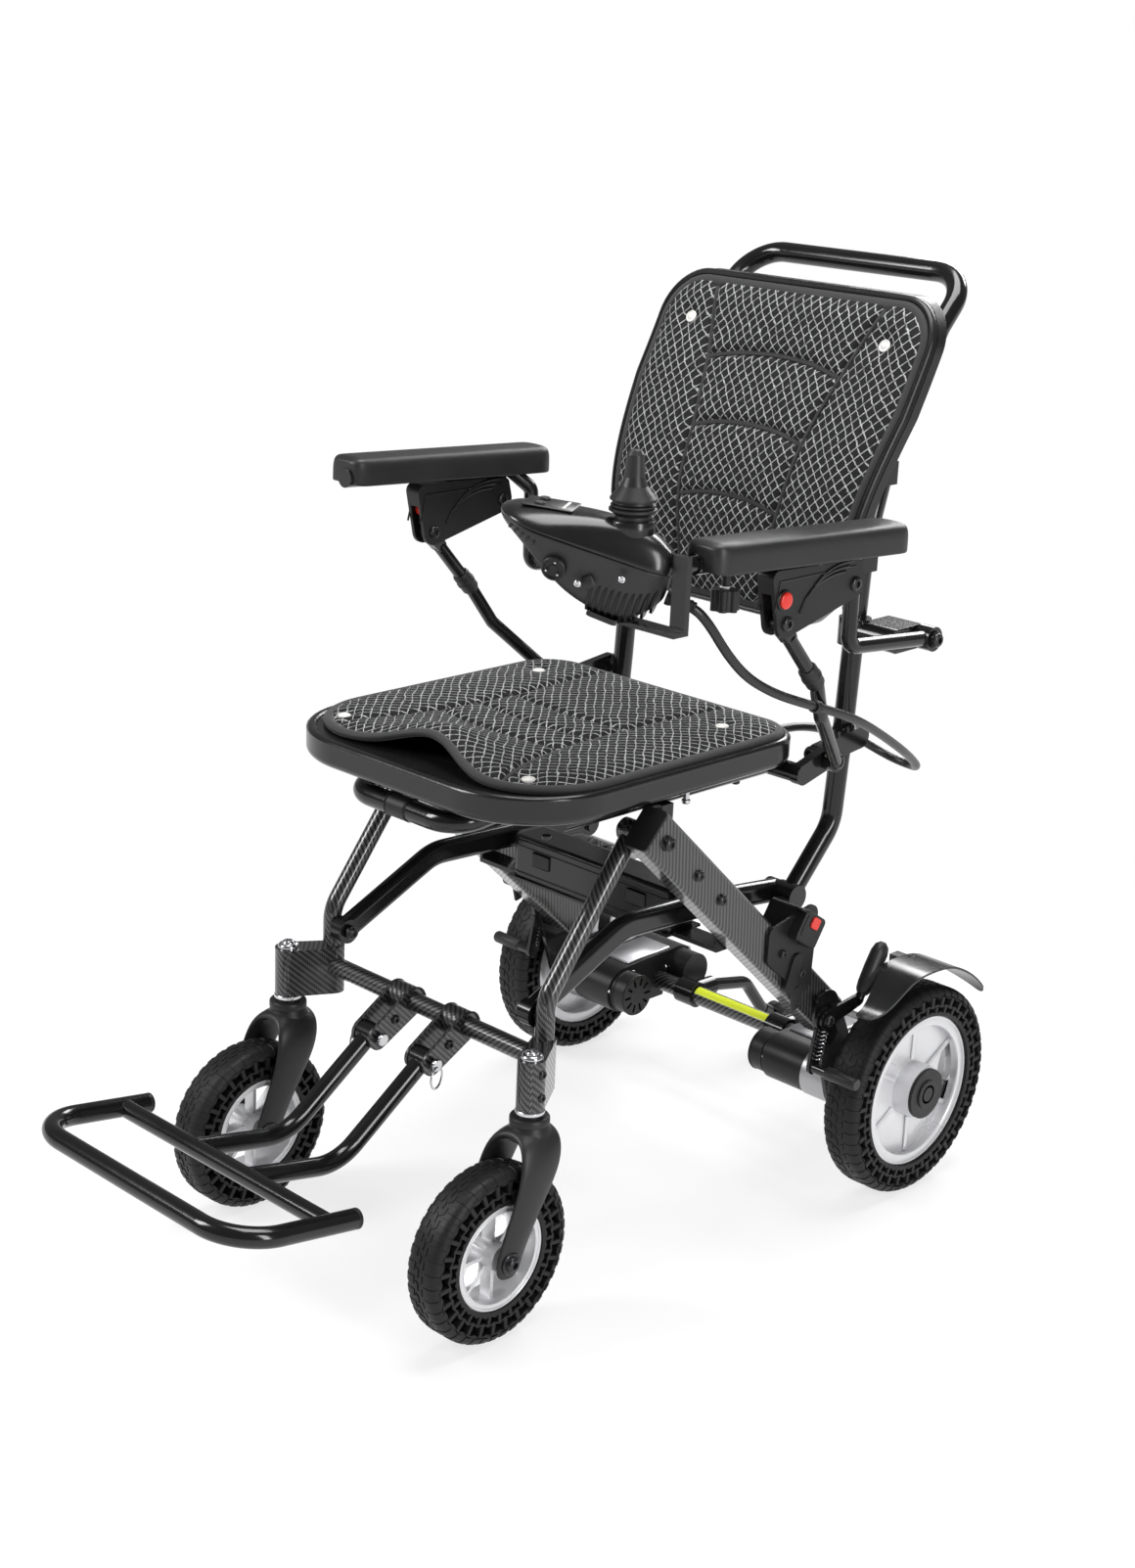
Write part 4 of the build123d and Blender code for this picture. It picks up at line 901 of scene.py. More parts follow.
def hoop(made, base, axis, r, section, n=72):
    """Ring about an axis from a closed section of (along, outward) steps."""
    base, axis = Vector(base), Vector(axis).normalized()
    a = axis.orthogonal().normalized()
    b = axis.cross(a)
    made.rings([[base + axis * al + (a * cos(t) + b * sin(t)) * (r + dr) for al, dr in section]
                for t in around(n)], loop=True)


def bead(r, n=10):
    """Round section of a ring, for hoop."""
    return [(r * sin(t), r * cos(t)) for t in around(n)]


SHOULDER = 9.0  # radius of a tyre's shoulder


def tread(made, x, y, z, r, wide, count):
    """Blocks moulded on a tyre: notched shoulders and slanted blocks between them."""
    half = wide / 2

    def block(line, t, span, slant=0.0):
        rings = []
        for off, radius, way in line:
            ring = []
            for dt, dr in ((-span, -0.6), (-span * 0.86, 0.8), (span * 0.86, 0.8), (span, -0.6)):
                a = t + dt + slant * off
                q = radius + dr * cos(way)
                ring.append((x + off + dr * sin(way) * (1 if off > 0 else -1),
                             y + q * sin(a), z + q * cos(a)))
            rings.append(ring)
        made.rings(rings)

    for k in range(count):
        t = 2 * pi * k / count
        for side in (-1, 1):
            arc = [(side * (half + SHOULDER * (sin(w) - 1)), r + SHOULDER * (cos(w) - 1), w)
                   for w in (radians(v) for v in (82, 62, 40, 18, 0))]
            arc.append((side * (half - 13.5), r, 0))
            block(arc, t + (pi / count if side > 0 else 0), pi / count * 0.62)
            block([(side * (half - 15.5), r, 0), (side * (half - 19), r, 0),
                   (side * 1.2, r, 0)], t + (0 if side > 0 else pi / count),
                  pi / count * 0.6, side * 0.5 / r * 1.6)


hinge = (-110.0, SEAT_Z)  # Y and Z, as in the next two lines
bracket_c, strut_c = (-167, SEAT_Z + 203), (-267.5, SEAT_Z + 178)
release, lift_grip = (-274.5, SEAT_Z + 202), (-517, SEAT_Z - 19)
strut_line = [Vector((246, -251.5, SEAT_Z + 160.3)), Vector((245, -200.5, SEAT_Z + 104))]
for s, hand in HANDS:
    out = (s, 0, 0)

    # wheels: rolled rim lips, tread, axle ends
    front = kit_of(hand, "front_rim_lips", "front_wheel", "rim_silver")
    rear = kit_of(hand, "rear_rim_lips", "rear_wheel", "rim_silver")
    for side in (-1, 1):
        hoop(front, (s * FRONT_X + side * 17.0, CASTER_Y, CASTER_R), X_AXIS, 52.6, bead(1.7))
        hoop(front, (s * FRONT_X + side * 17.2, CASTER_Y, CASTER_R), X_AXIS, 47.6, bead(1.0))
        hoop(rear, (s * REAR_X + side * 16.6, 0, AXLE_Z), X_AXIS, 83.4, bead(2.0))
        hoop(rear, (s * REAR_X + side * 16.6, 0, AXLE_Z), X_AXIS, 77.2, bead(1.3))
        hoop(rear, (s * REAR_X + side * 4, 0, AXLE_Z), X_AXIS, 32.5, bead(2.2))
    for turned in range(6):
        a = radians(60 * turned + 30)
        spot = (s * (REAR_X + 7.4), 53 * cos(a), AXLE_Z + 53 * sin(a))
        way = Vector((0, cos(a), sin(a)))
        rear.tube([Vector(spot) - way * 19, spot, Vector(spot) + way * 21], [3.4, 2.6, 3.2], 10,
                  up=X_AXIS, flat=0.7)
    tread(kit_of(hand, "front_tread", "front_wheel", "tyre"),
          s * FRONT_X, CASTER_Y, CASTER_R, 88.2, 40, 40)
    tread(kit_of(hand, "rear_tread", "rear_wheel", "tyre"),
          s * REAR_X, 0, AXLE_Z, 116.2, 44, 52)
    cap = kit_of(hand, "hub_trim", "rear_wheel", "dark_plastic")
    cap.lathe((s * 281.4, 0, AXLE_Z), out, [(0, 11), (0.6, 10.6), (0.6, 8), (-0.2, 7.4)], 32)
    fork = kit_of(hand, "fork_bolts", "fork", "dark_steel")
    for side in (-1, 1):
        fork.lathe((s * FRONT_X + side * 31.6, CASTER_Y, CASTER_R), (side, 0, 0),
                   [(0, 11.5), (1.6, 11.5), (2.4, 10.6)], 32)
        fork.bolt((s * FRONT_X + side * 33.8, CASTER_Y, CASTER_R), (side, 0, 0), 8, 4.4)
    ring = kit_of(hand, "stem_ring", "fork", "steel")
    hoop(ring, (s * FRONT_X, STEM_Y, 221.4), Z_AXIS, 11.6,
         [(-2.2, 0), (-2.2, 2.2), (-1.4, 3), (1.4, 3), (2.2, 2.2), (2.2, 0)], 40)

    # front frame: stem nuts, gusset screws, footrest hinges
    steel = kit("front_frame_nuts", "front_frame", "steel")
    dark = kit("front_frame_bolts", "front_frame", "dark_steel")
    steel.bolt((s * FRONT_X, STEM_Y, 279.6), Z_AXIS, 6.5, 3)
    for z in (238, 262):
        dark.bolt((s * 195.1, STEM_Y + 1, z), out, 4.6, 2.6)
    dark.bolt((s * 125.2, leg_y + 0.5, 297), (-s, 0, 0), 6, 3)
    for side in (-1, 1):
        x = s * 40 + side * 14
        dark.bolt((x, -497, 241), (side, 0, 0), 5.2, 3)
        steel.lathe((s * 40 + side * 17.6, -518, 227), (side, 0, 0),
                    [(0, 6.4), (2.6, 6.4), (3.4, 5.4), (3.4, 0.4)], 24)
        trim = kit("footrest_bracket_trim", "front_frame", "dark_plastic")
        trim.tube([(x + side * 0.4, -472 + 14.6 * sin(a), 254 + 14.6 * cos(a))
                   for a in (radians(v) for v in range(-20, 151, 15))], 1.3, 8)
    wire = kit("pull_rings", "front_frame", "steel")
    hoop(wire, (s * 40 + s * 20.6, -519, 214.4), (1, 0.35, 0), 11.2, bead(1.1, 8), 40)

    # arm: clamp, bracket, strut
    bolts = kit(hand + "_clamp_bolts", "back_frame", "dark_steel")
    bolts.bolt((s * 238, 2, SEAT_Z + 117), out, 7.6, 4)
    for y, z in ((-53.4, 640), (-50.6, 690)):
        bolts.bolt((s * 160, y + 2, z), (0, -1, 0.1), 4.2, 4.6)
    for z in (SEAT_Z + 107, SEAT_Z + 127):
        bolts.bolt((s * 160, -52.6, z), (0, -1, 0), 3.6, 3)
    brk = kit_of(hand, "bracket_bolts", "bracket", "dark_steel")
    for spot in (bracket_c, strut_c):
        brk.bolt((s * 256, *spot), out, 7.4, 3.6)
        brk.bolt((s * 236, *spot), (-s, 0, 0), 7.0, 3.0)
    ribs = kit_of(hand, "bracket_ribs", "bracket", "gloss_plastic")
    for k, cut in enumerate((0, 1, 1)):
        line = [(-250, 186), (-240, 201), (-224, 211), (-204, 216.5), (-184, 217.5)]
        for face in (256.2, 235.8):
            ribs.tube(spline([(s * face, y + 5 * k, SEAT_Z + z + 4.6 * k)
                              for y, z in line[cut:]], 6), 1.5, 8)
    for face in (256.0, 236.0):
        ribs.tube([(s * face, *spot) for spot in ((-288, SEAT_Z + 190), (-281, SEAT_Z + 220),
                                                  (-168, SEAT_Z + 221))], 1.1, 8)
    hoop(ribs, (s * 256.6, *release), X_AXIS, 8.6, bead(1.6), 40)
    red = kit_of(hand, "release_cap", "release_button", "red")
    red.lathe((s * 257.6, *release), out,
              [(-3, 6.3), (0, 6.3), (0.2, 8.0), (2.4, 8.0), (3.2, 7.2), (3.5, 5.0), (3.6, 0.4)],
              32)
    strut = kit_of(hand, "strut_fittings", "strut", "rubber")
    p, q = (Vector((s * v.x, v.y, v.z)) for v in strut_line)
    strut.tube([p.lerp(q, t) for t in (0.62, 0.66, 0.94, 0.98)], [8.2, 9.6, 9.6, 8.2], 20)
    strut.tube([p.lerp(q, t) for t in (0.76, 0.78, 0.82, 0.84)], [9.7, 10.4, 10.4, 9.7], 20)
    ends = kit_of(hand, "strut_bolts", "strut", "dark_steel")
    ends.bolt((s * 208.4, *hinge), out, 8.6, 4)
    ends.lathe((s * 207.6, *hinge), out, [(0, 11.6), (0.9, 11.6)], 28)

    # drive: plate screws, housing cover, brake, latch
    drive = kit("drive_screws", "rear_frame", "steel")
    for k in range(5):
        a = radians(72 * k + 20)
        drive.bolt((s * 209.8, 35.6 * cos(a), AXLE_Z + 35.6 * sin(a)), out, 3.7, 2.6)
    for y, z in MOTORS:
        for k in range(3):
            a = radians(120 * k + 50)
            drive.bolt((s * 117.8, y + 24.4 * cos(a), z + 24.4 * sin(a)), (-s, 0, 0), 2.2, 1.6)
    cover = kit("motor_covers", "rear_frame", "alloy")
    cover.box((s * 145, -10, 154.2), (44, 74, 3.4), (X_AXIS, (0, 1, 0.02), (0, -0.02, 1)))
    fins = kit("motor_fins", "rear_frame", "dark_plastic")
    for k in range(6):
        fins.box((s * (126 + 8 * k), -10, 97.6), (2.2, 62, 4.5), round_by=0.6)
    for x in (96.5, 113):
        hoop(fins, (s * x, *MOTORS[0]), X_AXIS, 23.6, bead(1.2, 8), 40)
    beams = kit("beam_bolts", "rear_frame", "dark_steel")
    beams.bolt((s * 208, *on_beam(20)), out, 7, 3)
    for along in (85, 135):
        beams.bolt((s * 207.2, *on_beam(along)), out, 5.2, 2)
    for spot in (on_beam(262, 6), on_beam(306, 6)):
        beams.bolt((s * 210.6, *spot), out, 4.0, 2)
    latch = kit("latch_trim", "rear_frame", "dark_plastic")
    lm = (on_beam(287.2, 75.8)[0] - 37, on_beam(287.2, 75.8)[1] - 11.4)
    lean = radians(33)
    axes = (X_AXIS, (0, cos(lean), -sin(lean)), (0, sin(lean), cos(lean)))
    latch.box((s * 214, lm[0] - 2, lm[1] + 17.5), (12, 30, 3), axes)
    latch.box((s * 222.2, lm[0] - 11, lm[1] + 8), (1.4, 3, 22), axes, 0.5)
    lug = on_beam(322, -16)
    latch.box((s * 207.4, *lug), (4, 16, 26), (X_AXIS, (0, 1, 0.25), (0, -0.25, 1)))
    hoop(latch, (s * 209.4, lug[0] + 1, lug[1] - 6), X_AXIS, 4.2, bead(1.0, 8), 28)
    brake = kit("brake_springs", "rear_frame", "steel")
    brake.tube([(s * 214.6 + 4.2 * cos(t), -113 + 4.2 * sin(t) + 8 * t / 50, 166 + 34 * t / 50)
                for t in (0.35 * k for k in range(143))], 0.85, 6)
    pads = kit("brake_pads", "rear_frame", "rubber")
    pads.lathe((s * 232, -117, AXLE_Z + 43), out, [(0, 6.4), (1, 7.1), (38, 7.1), (39, 6.4)], 24)
    brake_bolts = kit("brake_bolts", "rear_frame", "dark_steel")
    brake_bolts.bolt((s * 221, -105, AXLE_Z + 95), out, 5.6, 3)
    grip = kit_of(hand, "brake_grip", "brake_lever", "pad")
    a, b = Vector((s * 216, -46, 226)), Vector((s * 216, -14, 277))
    grip.tube([a.lerp(b, t) for t in (0, 0.06, 0.2, 0.5, 0.8, 0.93, 1)],
              [5.5, 7.6, 8.8, 9.4, 9.2, 7.4, 3], 20, flat=1.15, up=(0, 1, -0.6))
    stay = kit("fender_screws", "rear_frame", "dark_steel")
    stay.bolt((s * 234, 14, 257.4), Z_AXIS, 4.2, 2.4)
    tip = kit_of(hand, "antitip_trim", "antitip_wheel", "dark_steel")
    for side in (-1, 1):
        tip.bolt((s * 69 + side * 13.6, *ANTITIP), (side, 0, 0), 5.4, 2.6)
        hoop(tip, (s * 69 + side * 13.6, *ANTITIP), X_AXIS, 12.2, bead(0.9, 8), 36)

    # seat hinge and frame
    seat = kit("seat_bolts", "rear_frame", "dark_steel")
    seat.bolt((s * 171, *hinge), (-s, 0, 0), 7.4, 3)
    for y in (-470, -330, -200):
        seat.bolt((s * 150, y, SEAT_Z - 18), (0, 0, -1), 4.6, 2.6)
    feet = kit("seat_feet", "rear_frame", "steel")
    feet.lathe((s * 172, -300, SEAT_Z), (0, 0, -1), [(-1, 3), (10, 3), (11, 4.4), (14, 4.4),
                                                     (15, 3.4)], 16)

tape = kit("axle_tape", "rear_frame", "tape")
# stripe of bright tape on the axle tube
tape.rings([[(x, AXLE_TUBE[0] + q * cos(t), AXLE_TUBE[1] + q * sin(t)) for q, t in
             [(11.4, radians(v)) for v in range(92, 149, 8)]
             + [(10.9, radians(v)) for v in range(148, 91, -8)]] for x in (-54, -18, 18, 54)])
low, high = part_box("battery_case")
by0, by1 = (v[1] * 1000 - AXLE_Y for v in (low, high))
bz0, bz1 = low[2] * 1000, high[2] * 1000
bat = kit("battery_trim", "rear_frame", "dark_plastic")
for z in (bz1 - 11, bz0 + 6):
    ring = outline([(x, y, 9) for x, y in ((115, by0), (115, by1), (-115, by1), (-115, by0))], 9)
    bat.tube([(p.x, p.y, z) for p in ring], 0.9, 8, loop=True)
for x in (-70, 70):
    bat.box((x, by0 - 0.8, bz0 + 26), (26, 2.4, 16))

# handle under the seat's front, moulded in three
grip = kit("lift_grip", "rear_frame", "dark_plastic")
for x in (-14, 14):
    hoop(grip, (x, *lift_grip), X_AXIS, 11.2, bead(0.8, 8), 36)
grip.lathe((-13, *lift_grip), X_AXIS, [(0, 11.1), (0.6, 11.7), (25.4, 11.7),
                                                 (26, 11.1)], 36)

# back of the rest: raised bead and ribs
rear = kit("back_shell_ribs", "back_frame", "shell")
ring = outline([(96, 40, 22), (112, 120, 30), (122, 300, 34), (-122, 300, 34), (-112, 120, 30),
                (-96, 40, 22)], 8)
rear.tube([back_place(p.x, p.y, -13.8) for p in ring], 2.2, 10, loop=True)
for v in (90, 130, 170, 210, 250):
    wide = 84 + (v - 90) * 0.1
    rear.tube([back_place(u, v, -13.8) for u in np.linspace(-wide, wide, 25)],
              [0.6] + [1.9] * 23 + [0.6], 10)


# ---- Cable fittings --------------------------------------------------
relief = kit("cable_relief", "controller", "rubber")
steps = [(0, 7.6), (4, 7.6), (5, 6.9)]
for k in range(5):
    at, crest, root = 6 + 4 * k, 6.9 - 0.3 * k, 5.8 - 0.2 * k
    steps += [(at, crest), (at + 2, crest), (at + 2.4, root), (at + 3.8, root)]
relief.lathe(GLAND + NOSE * 6, -NOSE, steps + [(28, 4.8)], 24)
entry = kit("seat_cable_entry", "rear_frame", "rubber")
entry.lathe((126, -132, SEAT_Z + 14), (0, 1, 0.02), [(0, 8.4), (4, 8.4), (5, 7), (24, 4.9)], 24)
clip = kit("cable_clip", "left_strut", "dark_plastic")
hoop(clip, CLIP, CLIP_WAY, 4.7, [(-4, 0), (-4, 1.8), (4, 1.8), (4, 0)], 32)
clip.tube([CLIP + Vector((-2.5, 0, 5)), CLIP + Vector((-6, 2, 12)),
           CLIP + Vector((-8, 4, 19))], 3.0, 10)


# ---- Controller ------------------------------------------------------
port = kit("controller_port", "controller", "dark_plastic")
face = (SIDE * 0.97 - UP * 0.24).normalized()
port.lathe(C(17, -25, 36.6), face, [(-3, 11.5), (1.4, 11.5), (2.2, 10.6), (2.2, 9.2), (0.6, 8.6),
                                    (0.6, 4.4), (1.6, 4.0), (1.6, 0.4)], 32)
pins = kit("controller_pins", "controller", "steel")
for k in range(3):
    a = radians(120 * k + 90)
    pins.lathe(C(17, -25, 37.6) + NOSE * 6.4 * cos(a) + UP * 6.4 * sin(a) + face * 0.4, face,
               [(0, 1.1), (1.6, 1.1), (1.9, 0.7)], 12)
for u, w, v in ((-44, -12, 33.5), (-8, -30, 36.4)):
    pins.bolt(C(u, w, v), face, 3.4, 1.4)
panel = kit("controller_panel", "controller", "dark_plastic")
slope = (NOSE - UP * 0.217).normalized()
normal = (UP + NOSE * 0.217).normalized()
panel.box(C(44, 20.1), (48, 40, 1.6), (slope, SIDE, normal), 0.7)
keys = kit("controller_keys", "controller", "pad")
for v in (-11, 11):
    keys.lathe(C(52, 18.9, v), normal, [(0, 5), (1.8, 5), (2.6, 4.2), (2.4, 0.4)], 24)
lamps = kit("controller_lamps", "controller", "pearl")
for v in range(-2, 3):
    lamps.box(C(30, 23.9, v * 6), (3, 3.6, 1), (slope, SIDE, normal), 0.3)
knob = kit("clamp_knob_trim", "clamp_knob", "steel")
knob_at = arm_point(-389.5 + 47)
knob.lathe((knob_at.x, knob_at.y, knob_at.z - 27), Z_AXIS, [(0, 5.6), (3, 5.6), (3.6, 4.6)], 6)


# ---- Tyres with open cells -------------------------------------------
def tyre(name, body, x, y, z, r, inner, wide, count, rows, deep):
    """Moulded tyre: revolved casing whose sides have staggered six-sided cells."""
    made = kit(name, body, "tyre")
    half, n, zig = wide / 2, count * 2, 1.3

    def ring(q, off, wave=0.0):
        """Circle in n points, of which every second one is wave nearer to the axle."""
        points = []
        for k in range(n):
            radius, t = q + (wave if k % 2 else -wave), pi * k / count
            points.append(Vector((x + off, y + radius * sin(t), z + radius * cos(t))))
        return points

    def cell(circles, start, side, c, first):
        """One cell between circles c and c + 1: land, chamfer and pocket."""
        rim = [(c, first), (c, first + 1), (c, first + 2),
               (c + 1, first + 2), (c + 1, first + 1), (c + 1, first)]
        corners = [circles[i][k % n] for i, k in rim]
        mid = sum(corners, Vector()) / 6
        last = [start + i * n + k % n for i, k in rim]
        for share, sink in ((0.76, 0.0), (0.70, 0.9), (0.66, deep)):
            new = []
            for p in corners:
                p = mid.lerp(p, share)
                new.append(len(made.verts))
                made.verts.append(P(p.x - side * sink, p.y, p.z))
            for a in range(6):
                b = (a + 1) % 6
                made.faces.append((last[a], last[b], new[b], new[a]))
            last = new
        made.faces.append(tuple(last))

    for side in (-1, 1):
        circles = [ring(inner, side * (half - 0.4)), ring(rows[0][0], side * half, zig)]
        for i, (_, high_r) in enumerate(rows):
            circles.append(ring(high_r, side * half, zig if i % 2 else -zig))
        circles.append(ring(r - SHOULDER, side * half))
        for w in (radians(v) for v in (22, 45, 68, 90)):
            circles.append(ring(r - SHOULDER + SHOULDER * sin(w),
                                side * (half - SHOULDER + SHOULDER * cos(w))))
        circles.append(ring(r, 0))
        start = len(made.verts)
        for c in circles:
            made.verts.extend(P(*p) for p in c)
        for c in range(len(circles) - 1):
            if 1 <= c <= len(rows):
                for k in range(count):
                    cell(circles, start, side, c, 2 * k + (c - 1) % 2)
                continue
            low, high = start + c * n, start + (c + 1) * n
            for k in range(n):
                j = (k + 1) % n
                made.faces.append((low + k, low + j, high + j, high + k))
    # the bore, against the rim
    made.rings([ring(inner, -half + 0.4), ring(inner, half - 0.4)], caps=False)


for s, hand in HANDS:
    tyre(hand + "_front_casing", hand + "_front_wheel", s * FRONT_X, CASTER_Y, CASTER_R, 88.3,
         54.6, 40, 28, ((58.5, 67.0), (67.0, 79.0)), 11)
    tyre(hand + "_rear_casing", hand + "_rear_wheel", s * REAR_X, 0, AXLE_Z, 116.3,
         85.7, 44, 36, ((89.0, 96.8), (96.8, 107.6)), 12)


# ---- Cast forks: a hood over the tyre and two tapering legs ----------
for s, hand in HANDS:
    cx = s * FRONT_X
    # (across, fore and aft, height, depth, thickness) from one leg's foot over the hood
    half = [(-28, CASTER_Y - 0.5, 72, 10, 6), (-28, CASTER_Y, 75, 27, 9),
            (-28, CASTER_Y + 0.5, 88, 35, 9.8), (-28, CASTER_Y + 7, 104, 37, 9.8),
            (-28.4, CASTER_Y + 18, 128, 41, 10), (-28.8, CASTER_Y + 31, 154, 48, 10.6),
            (-28.2, CASTER_Y + 40, 175, 53, 12), (-21.5, CASTER_Y + 46, 194, 54, 15),
            (-9, STEM_Y, 201, 50, 17)]
    rows = half + [(-x, y, z, d, t) for x, y, z, d, t in reversed(half)]
    rings = []
    for i, (x, y, z, d, t) in enumerate(rows):
        a, b = rows[max(i - 1, 0)], rows[min(i + 1, len(rows) - 1)]
        run = Vector((b[0] - a[0], b[2] - a[2])).normalized()
        across = (-run.y, run.x)
        rings.append([(cx + s * (x + across[0] * t / 2 * cos(w)), y + d / 2 * sin(w),
                       z + across[1] * t / 2 * cos(w)) for w in around(12)])
    casting = Kit(hand + "_fork_casting", hand + "_fork", "fork_black")
    casting.rings(rings)
    casting.skin(hand + "_fork")
    neck = kit_of(hand, "fork_neck", "fork", "fork_black")
    neck.lathe((cx, STEM_Y, 196), Z_AXIS, [(0, 23.5), (6, 21.5), (11, 18.8), (13, 18.0),
                                               (13.6, 19.6), (19, 19.6), (20.4, 18.6),
                                               (20.4, 12.4), (22.6, 12.2), (22.6, 8)], 40)
    neck.lathe((cx, STEM_Y, 218), Z_AXIS, [(0, 11.6), (6, 11.6)], 36)
    for side in (-1, 1):
        neck.lathe((cx + side * 19.8, CASTER_Y, CASTER_R), (side, 0, 0), [(0, 6.4), (5, 6.4)], 24)


# ---- Controller body: a broad glossy lid over a deep finned case -----
lid_top = natural_spline((-92, -78, -56, -30, 0, 22, 46, 68, 80, 86), (5, 19, 30, 32.5, 30, 25,
                                                                     19.5, 13.6, 9, 4.5))
case_low = natural_spline((-92, -84, -70, -52, -20, 12, 32, 50, 66, 80, 86),
                          (-4, -22, -43, -53, -54, -44, -31, -20, -11, -5, -1.5))


def half_width(u):
    """Half the controller's width at u: the hull of its two end circles."""
    best = 0.0
    px = py = 0.0
    for k in range(61):
        t = pi * k / 60
        c, r = max(((42, 44), (-58, 26)), key=lambda e: e[0] * cos(t) + e[1])
        x, y = c + r * cos(t), r * sin(t)
        if k and (px - u) * (x - u) <= 0 and abs(px - x) > 1e-9:
            f = (u - px) / (x - px)
            best = max(best, py + (y - py) * f)
        px, py = x, y
    return best


def slimmer(u):
    """Share of its width that the case keeps below the lid."""
    return 1.0 - min(max(20 - u, 0) / 300, 0.12)


stations = [-83.4, -81.5, -77, -70, -60, -46, -30, -12, 8, 26, 42, 56, 68, 76, 81.5, 84.4, 85.4]
lid_rings, case_rings = [], []
for u in stations:
    b = max(half_width(u), 5.0)
    t, d = lid_top(u), case_low(u)
    lid = [(0, t), (0.30 * b, t - 0.4), (0.55 * b, 3 + (t - 3) * 0.90),
           (0.76 * b, 3 + (t - 3) * 0.66), (0.92 * b, 3 + (t - 3) * 0.34), (1.0 * b, 4.2),
           (1.0 * b, 1.6), (0.9 * b, 0.6)]
    lid_rings.append([C(u, w, v) for v, w in lid] +
                     [C(u, w, -v) for v, w in reversed(lid[1:])])
    slim = slimmer(u)
    case = [(0, 2), (0.86 * b, 1.6), (0.955 * b, 0.6), (0.95 * b, -2), (0.90 * b * slim, d * 0.34),
            (0.82 * b * slim, d * 0.66), (0.70 * b * slim, d * 0.93), (0.34 * b, d), (0, d)]
    case_rings.append([C(u * 0.985, w, v) for v, w in case] +
                      [C(u * 0.985, w, -v) for v, w in reversed(case[1:-1])])
for name, look, rings, stands_for in (
        ("controller_lid", "gloss_plastic", lid_rings, "controller_body"),
        ("controller_case", "case_plastic", case_rings, None)):
    shell = Kit(name, "controller", look)
    shell.rings(rings)
    shell.skin(stands_for)
collar = kit("controller_collar", "controller", "gloss_plastic")
collar.lathe(C(-30, 36.4) - Vector((0, 0, 20)), Z_AXIS,
             [(0, 21), (10, 21.6), (17, 21.8), (18.4, 21.0), (18.4, 17.4), (14, 17.2)], 48)
vents = kit("controller_fins", "controller", "dark_plastic")
for k in range(10):
    u = -20 - 6.2 * k
    low, b = case_low(u), half_width(u) * slimmer(u)
    for side in (-1, 1):
        edge = [C(u, w, side * v) for v, w in (
            (0.86 * b, low * 0.46), (0.81 * b + 1.8, low * 0.62), (0.70 * b + 2.4, low * 0.90),
            (0.36 * b, low - 3.0), (0.0, low - 3.4))]
        root = [C(u, w, side * v) for v, w in (
            (0.82 * b, low * 0.42), (0.74 * b, low * 0.60), (0.60 * b, low * 0.82),
            (0.32 * b, low + 3), (0.0, low + 3))]
        vents.rings([[p - NOSE * 1.3, p + NOSE * 1.3, q + NOSE * 1.3, q - NOSE * 1.3]
                     for p, q in zip(edge, root)])
notches = kit("controller_slots", "controller", "rubber")
for k in range(5):
    u = 42 + 6.4 * k
    notches.box(C(u, case_low(u) * 0.4, 0.92 * half_width(u)), (2.6, 3.4, 2.4),
                (NOSE, UP, SIDE), 0.6)
lean = (NOSE + UP).normalized()
notches.box(C(-16, -27, 0.885 * half_width(-16)), (11, 11, 3), (lean, SIDE.cross(lean), SIDE), 1.2)


# ---- Rear wheel faces: bright flange ---------------------------------
for s, hand in HANDS:
    flange = kit_of(hand, "rear_flange", "rear_wheel", "rim_silver")
    for side in (-1, 1):
        hoop(flange, (s * REAR_X + side * 16.2, 0, AXLE_Z), (side, 0, 0), 73.4,
             [(-1, 0), (1.4, 0), (2.1, 0.8), (2.1, 10.8), (1.5, 11.6), (-1, 11.6)], 72)


# ---- Stage and light -------------------------------------------------
FLOOR_GAP = 0.0005
FILL_LIGHT = (0.20, 0.20, 0.205)  # the world's light where the camera doesn't see it


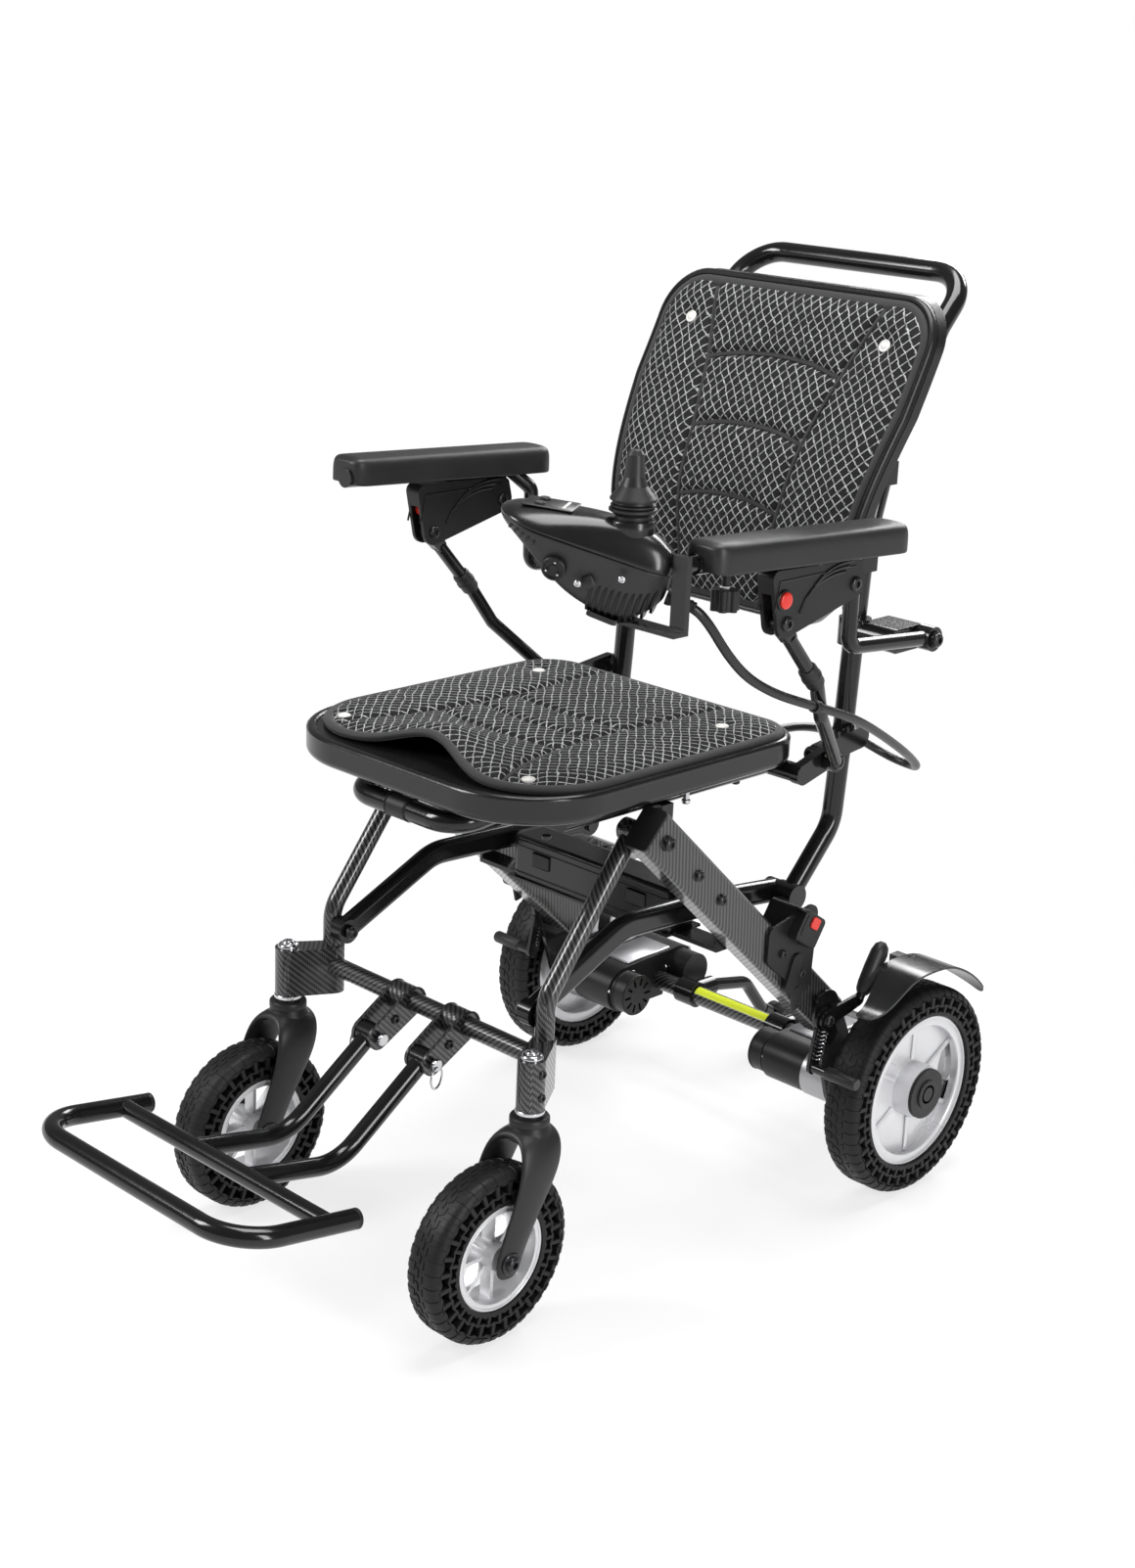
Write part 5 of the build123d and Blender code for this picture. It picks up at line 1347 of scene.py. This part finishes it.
def stage():
    """Floor that takes the shadow and goes white with distance, and a white world."""
    me = bpy.data.meshes.new("floor")
    bm = bmesh.new()
    bmesh.ops.create_grid(bm, x_segments=2, y_segments=2, size=30)
    bm.to_mesh(me)
    bm.free()
    floor = put("floor", me)
    floor.location.z = cad_bounds[0][2] - FLOOR_GAP
    m, t, b = new_mat("floor")
    out = [n for n in t.nodes if n.type == "OUTPUT_MATERIAL"][0]
    dial(b, {"Base Color": (0.93, 0.93, 0.93, 1), "Roughness": 0.9})
    em = node(t, "Emission")
    em.inputs["Strength"].default_value = 1.0
    length = node(t, "VectorMath")
    length.operation = "LENGTH"
    t.links.new(coords(t), length.inputs[0])
    plain = remap(t, length.outputs["Value"], 0.72, 1.0, 0.7, 1.5)
    rays = node(t, "LightPath")
    seen = calc(t, "MAXIMUM", rays.outputs["Is Camera Ray"], rays.outputs["Is Glossy Ray"])
    mx = node(t, "MixShader")
    t.links.new(calc(t, "MULTIPLY", seen, plain), mx.inputs[0])
    t.links.new(b.outputs[0], mx.inputs[1])
    t.links.new(em.outputs[0], mx.inputs[2])
    t.links.new(mx.outputs[0], out.inputs[0])
    floor.data.materials.append(m)
    w = bpy.data.worlds.new("world")
    bpy.context.scene.world = w
    w.use_nodes = True
    t = w.node_tree
    t.nodes.clear()
    out = node(t, "OutputWorld")
    bg = node(t, "Background")
    rays = node(t, "LightPath")
    t.links.new(mix_color(t, rays.outputs["Is Camera Ray"], FILL_LIGHT, (1.0, 1.0, 1.0)),
                bg.inputs[0])
    bg.inputs[1].default_value = 1.0
    t.links.new(bg.outputs[0], out.inputs[0])


def area(name, loc, target, size, power, size_y):
    """Rectangular lamp of size by size_y metres, aimed at a target."""
    d = bpy.data.lights.new(name, "AREA")
    d.energy = power
    d.shape = "RECTANGLE"
    d.size, d.size_y = size, size_y
    o = put(name, d)
    o.location = loc
    o.rotation_euler = (Vector(target) - Vector(loc)).to_track_quat("-Z", "Y").to_euler()


stage()
area("key", (-1.7, -2.3, 2.4), (0, 0, 0.5), 0.9, 78, 1.6)
area("fill", (2.9, -0.4, 1.5), (0, 0, 0.5), 0.6, 52, 2.2)
area("rim", (-0.6, 2.7, 2.0), (0, 0, 0.6), 2.0, 60, 0.7)
area("top", (0.1, 0.4, 2.9), (0, 0, 0.5), 1.6, 70, 1.6)

linked = {name: made.link() for name, made in Kit.made.items()}
for _, hand in HANDS:
    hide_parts(hand + "_front_tyre")
    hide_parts(hand + "_rear_tyre")
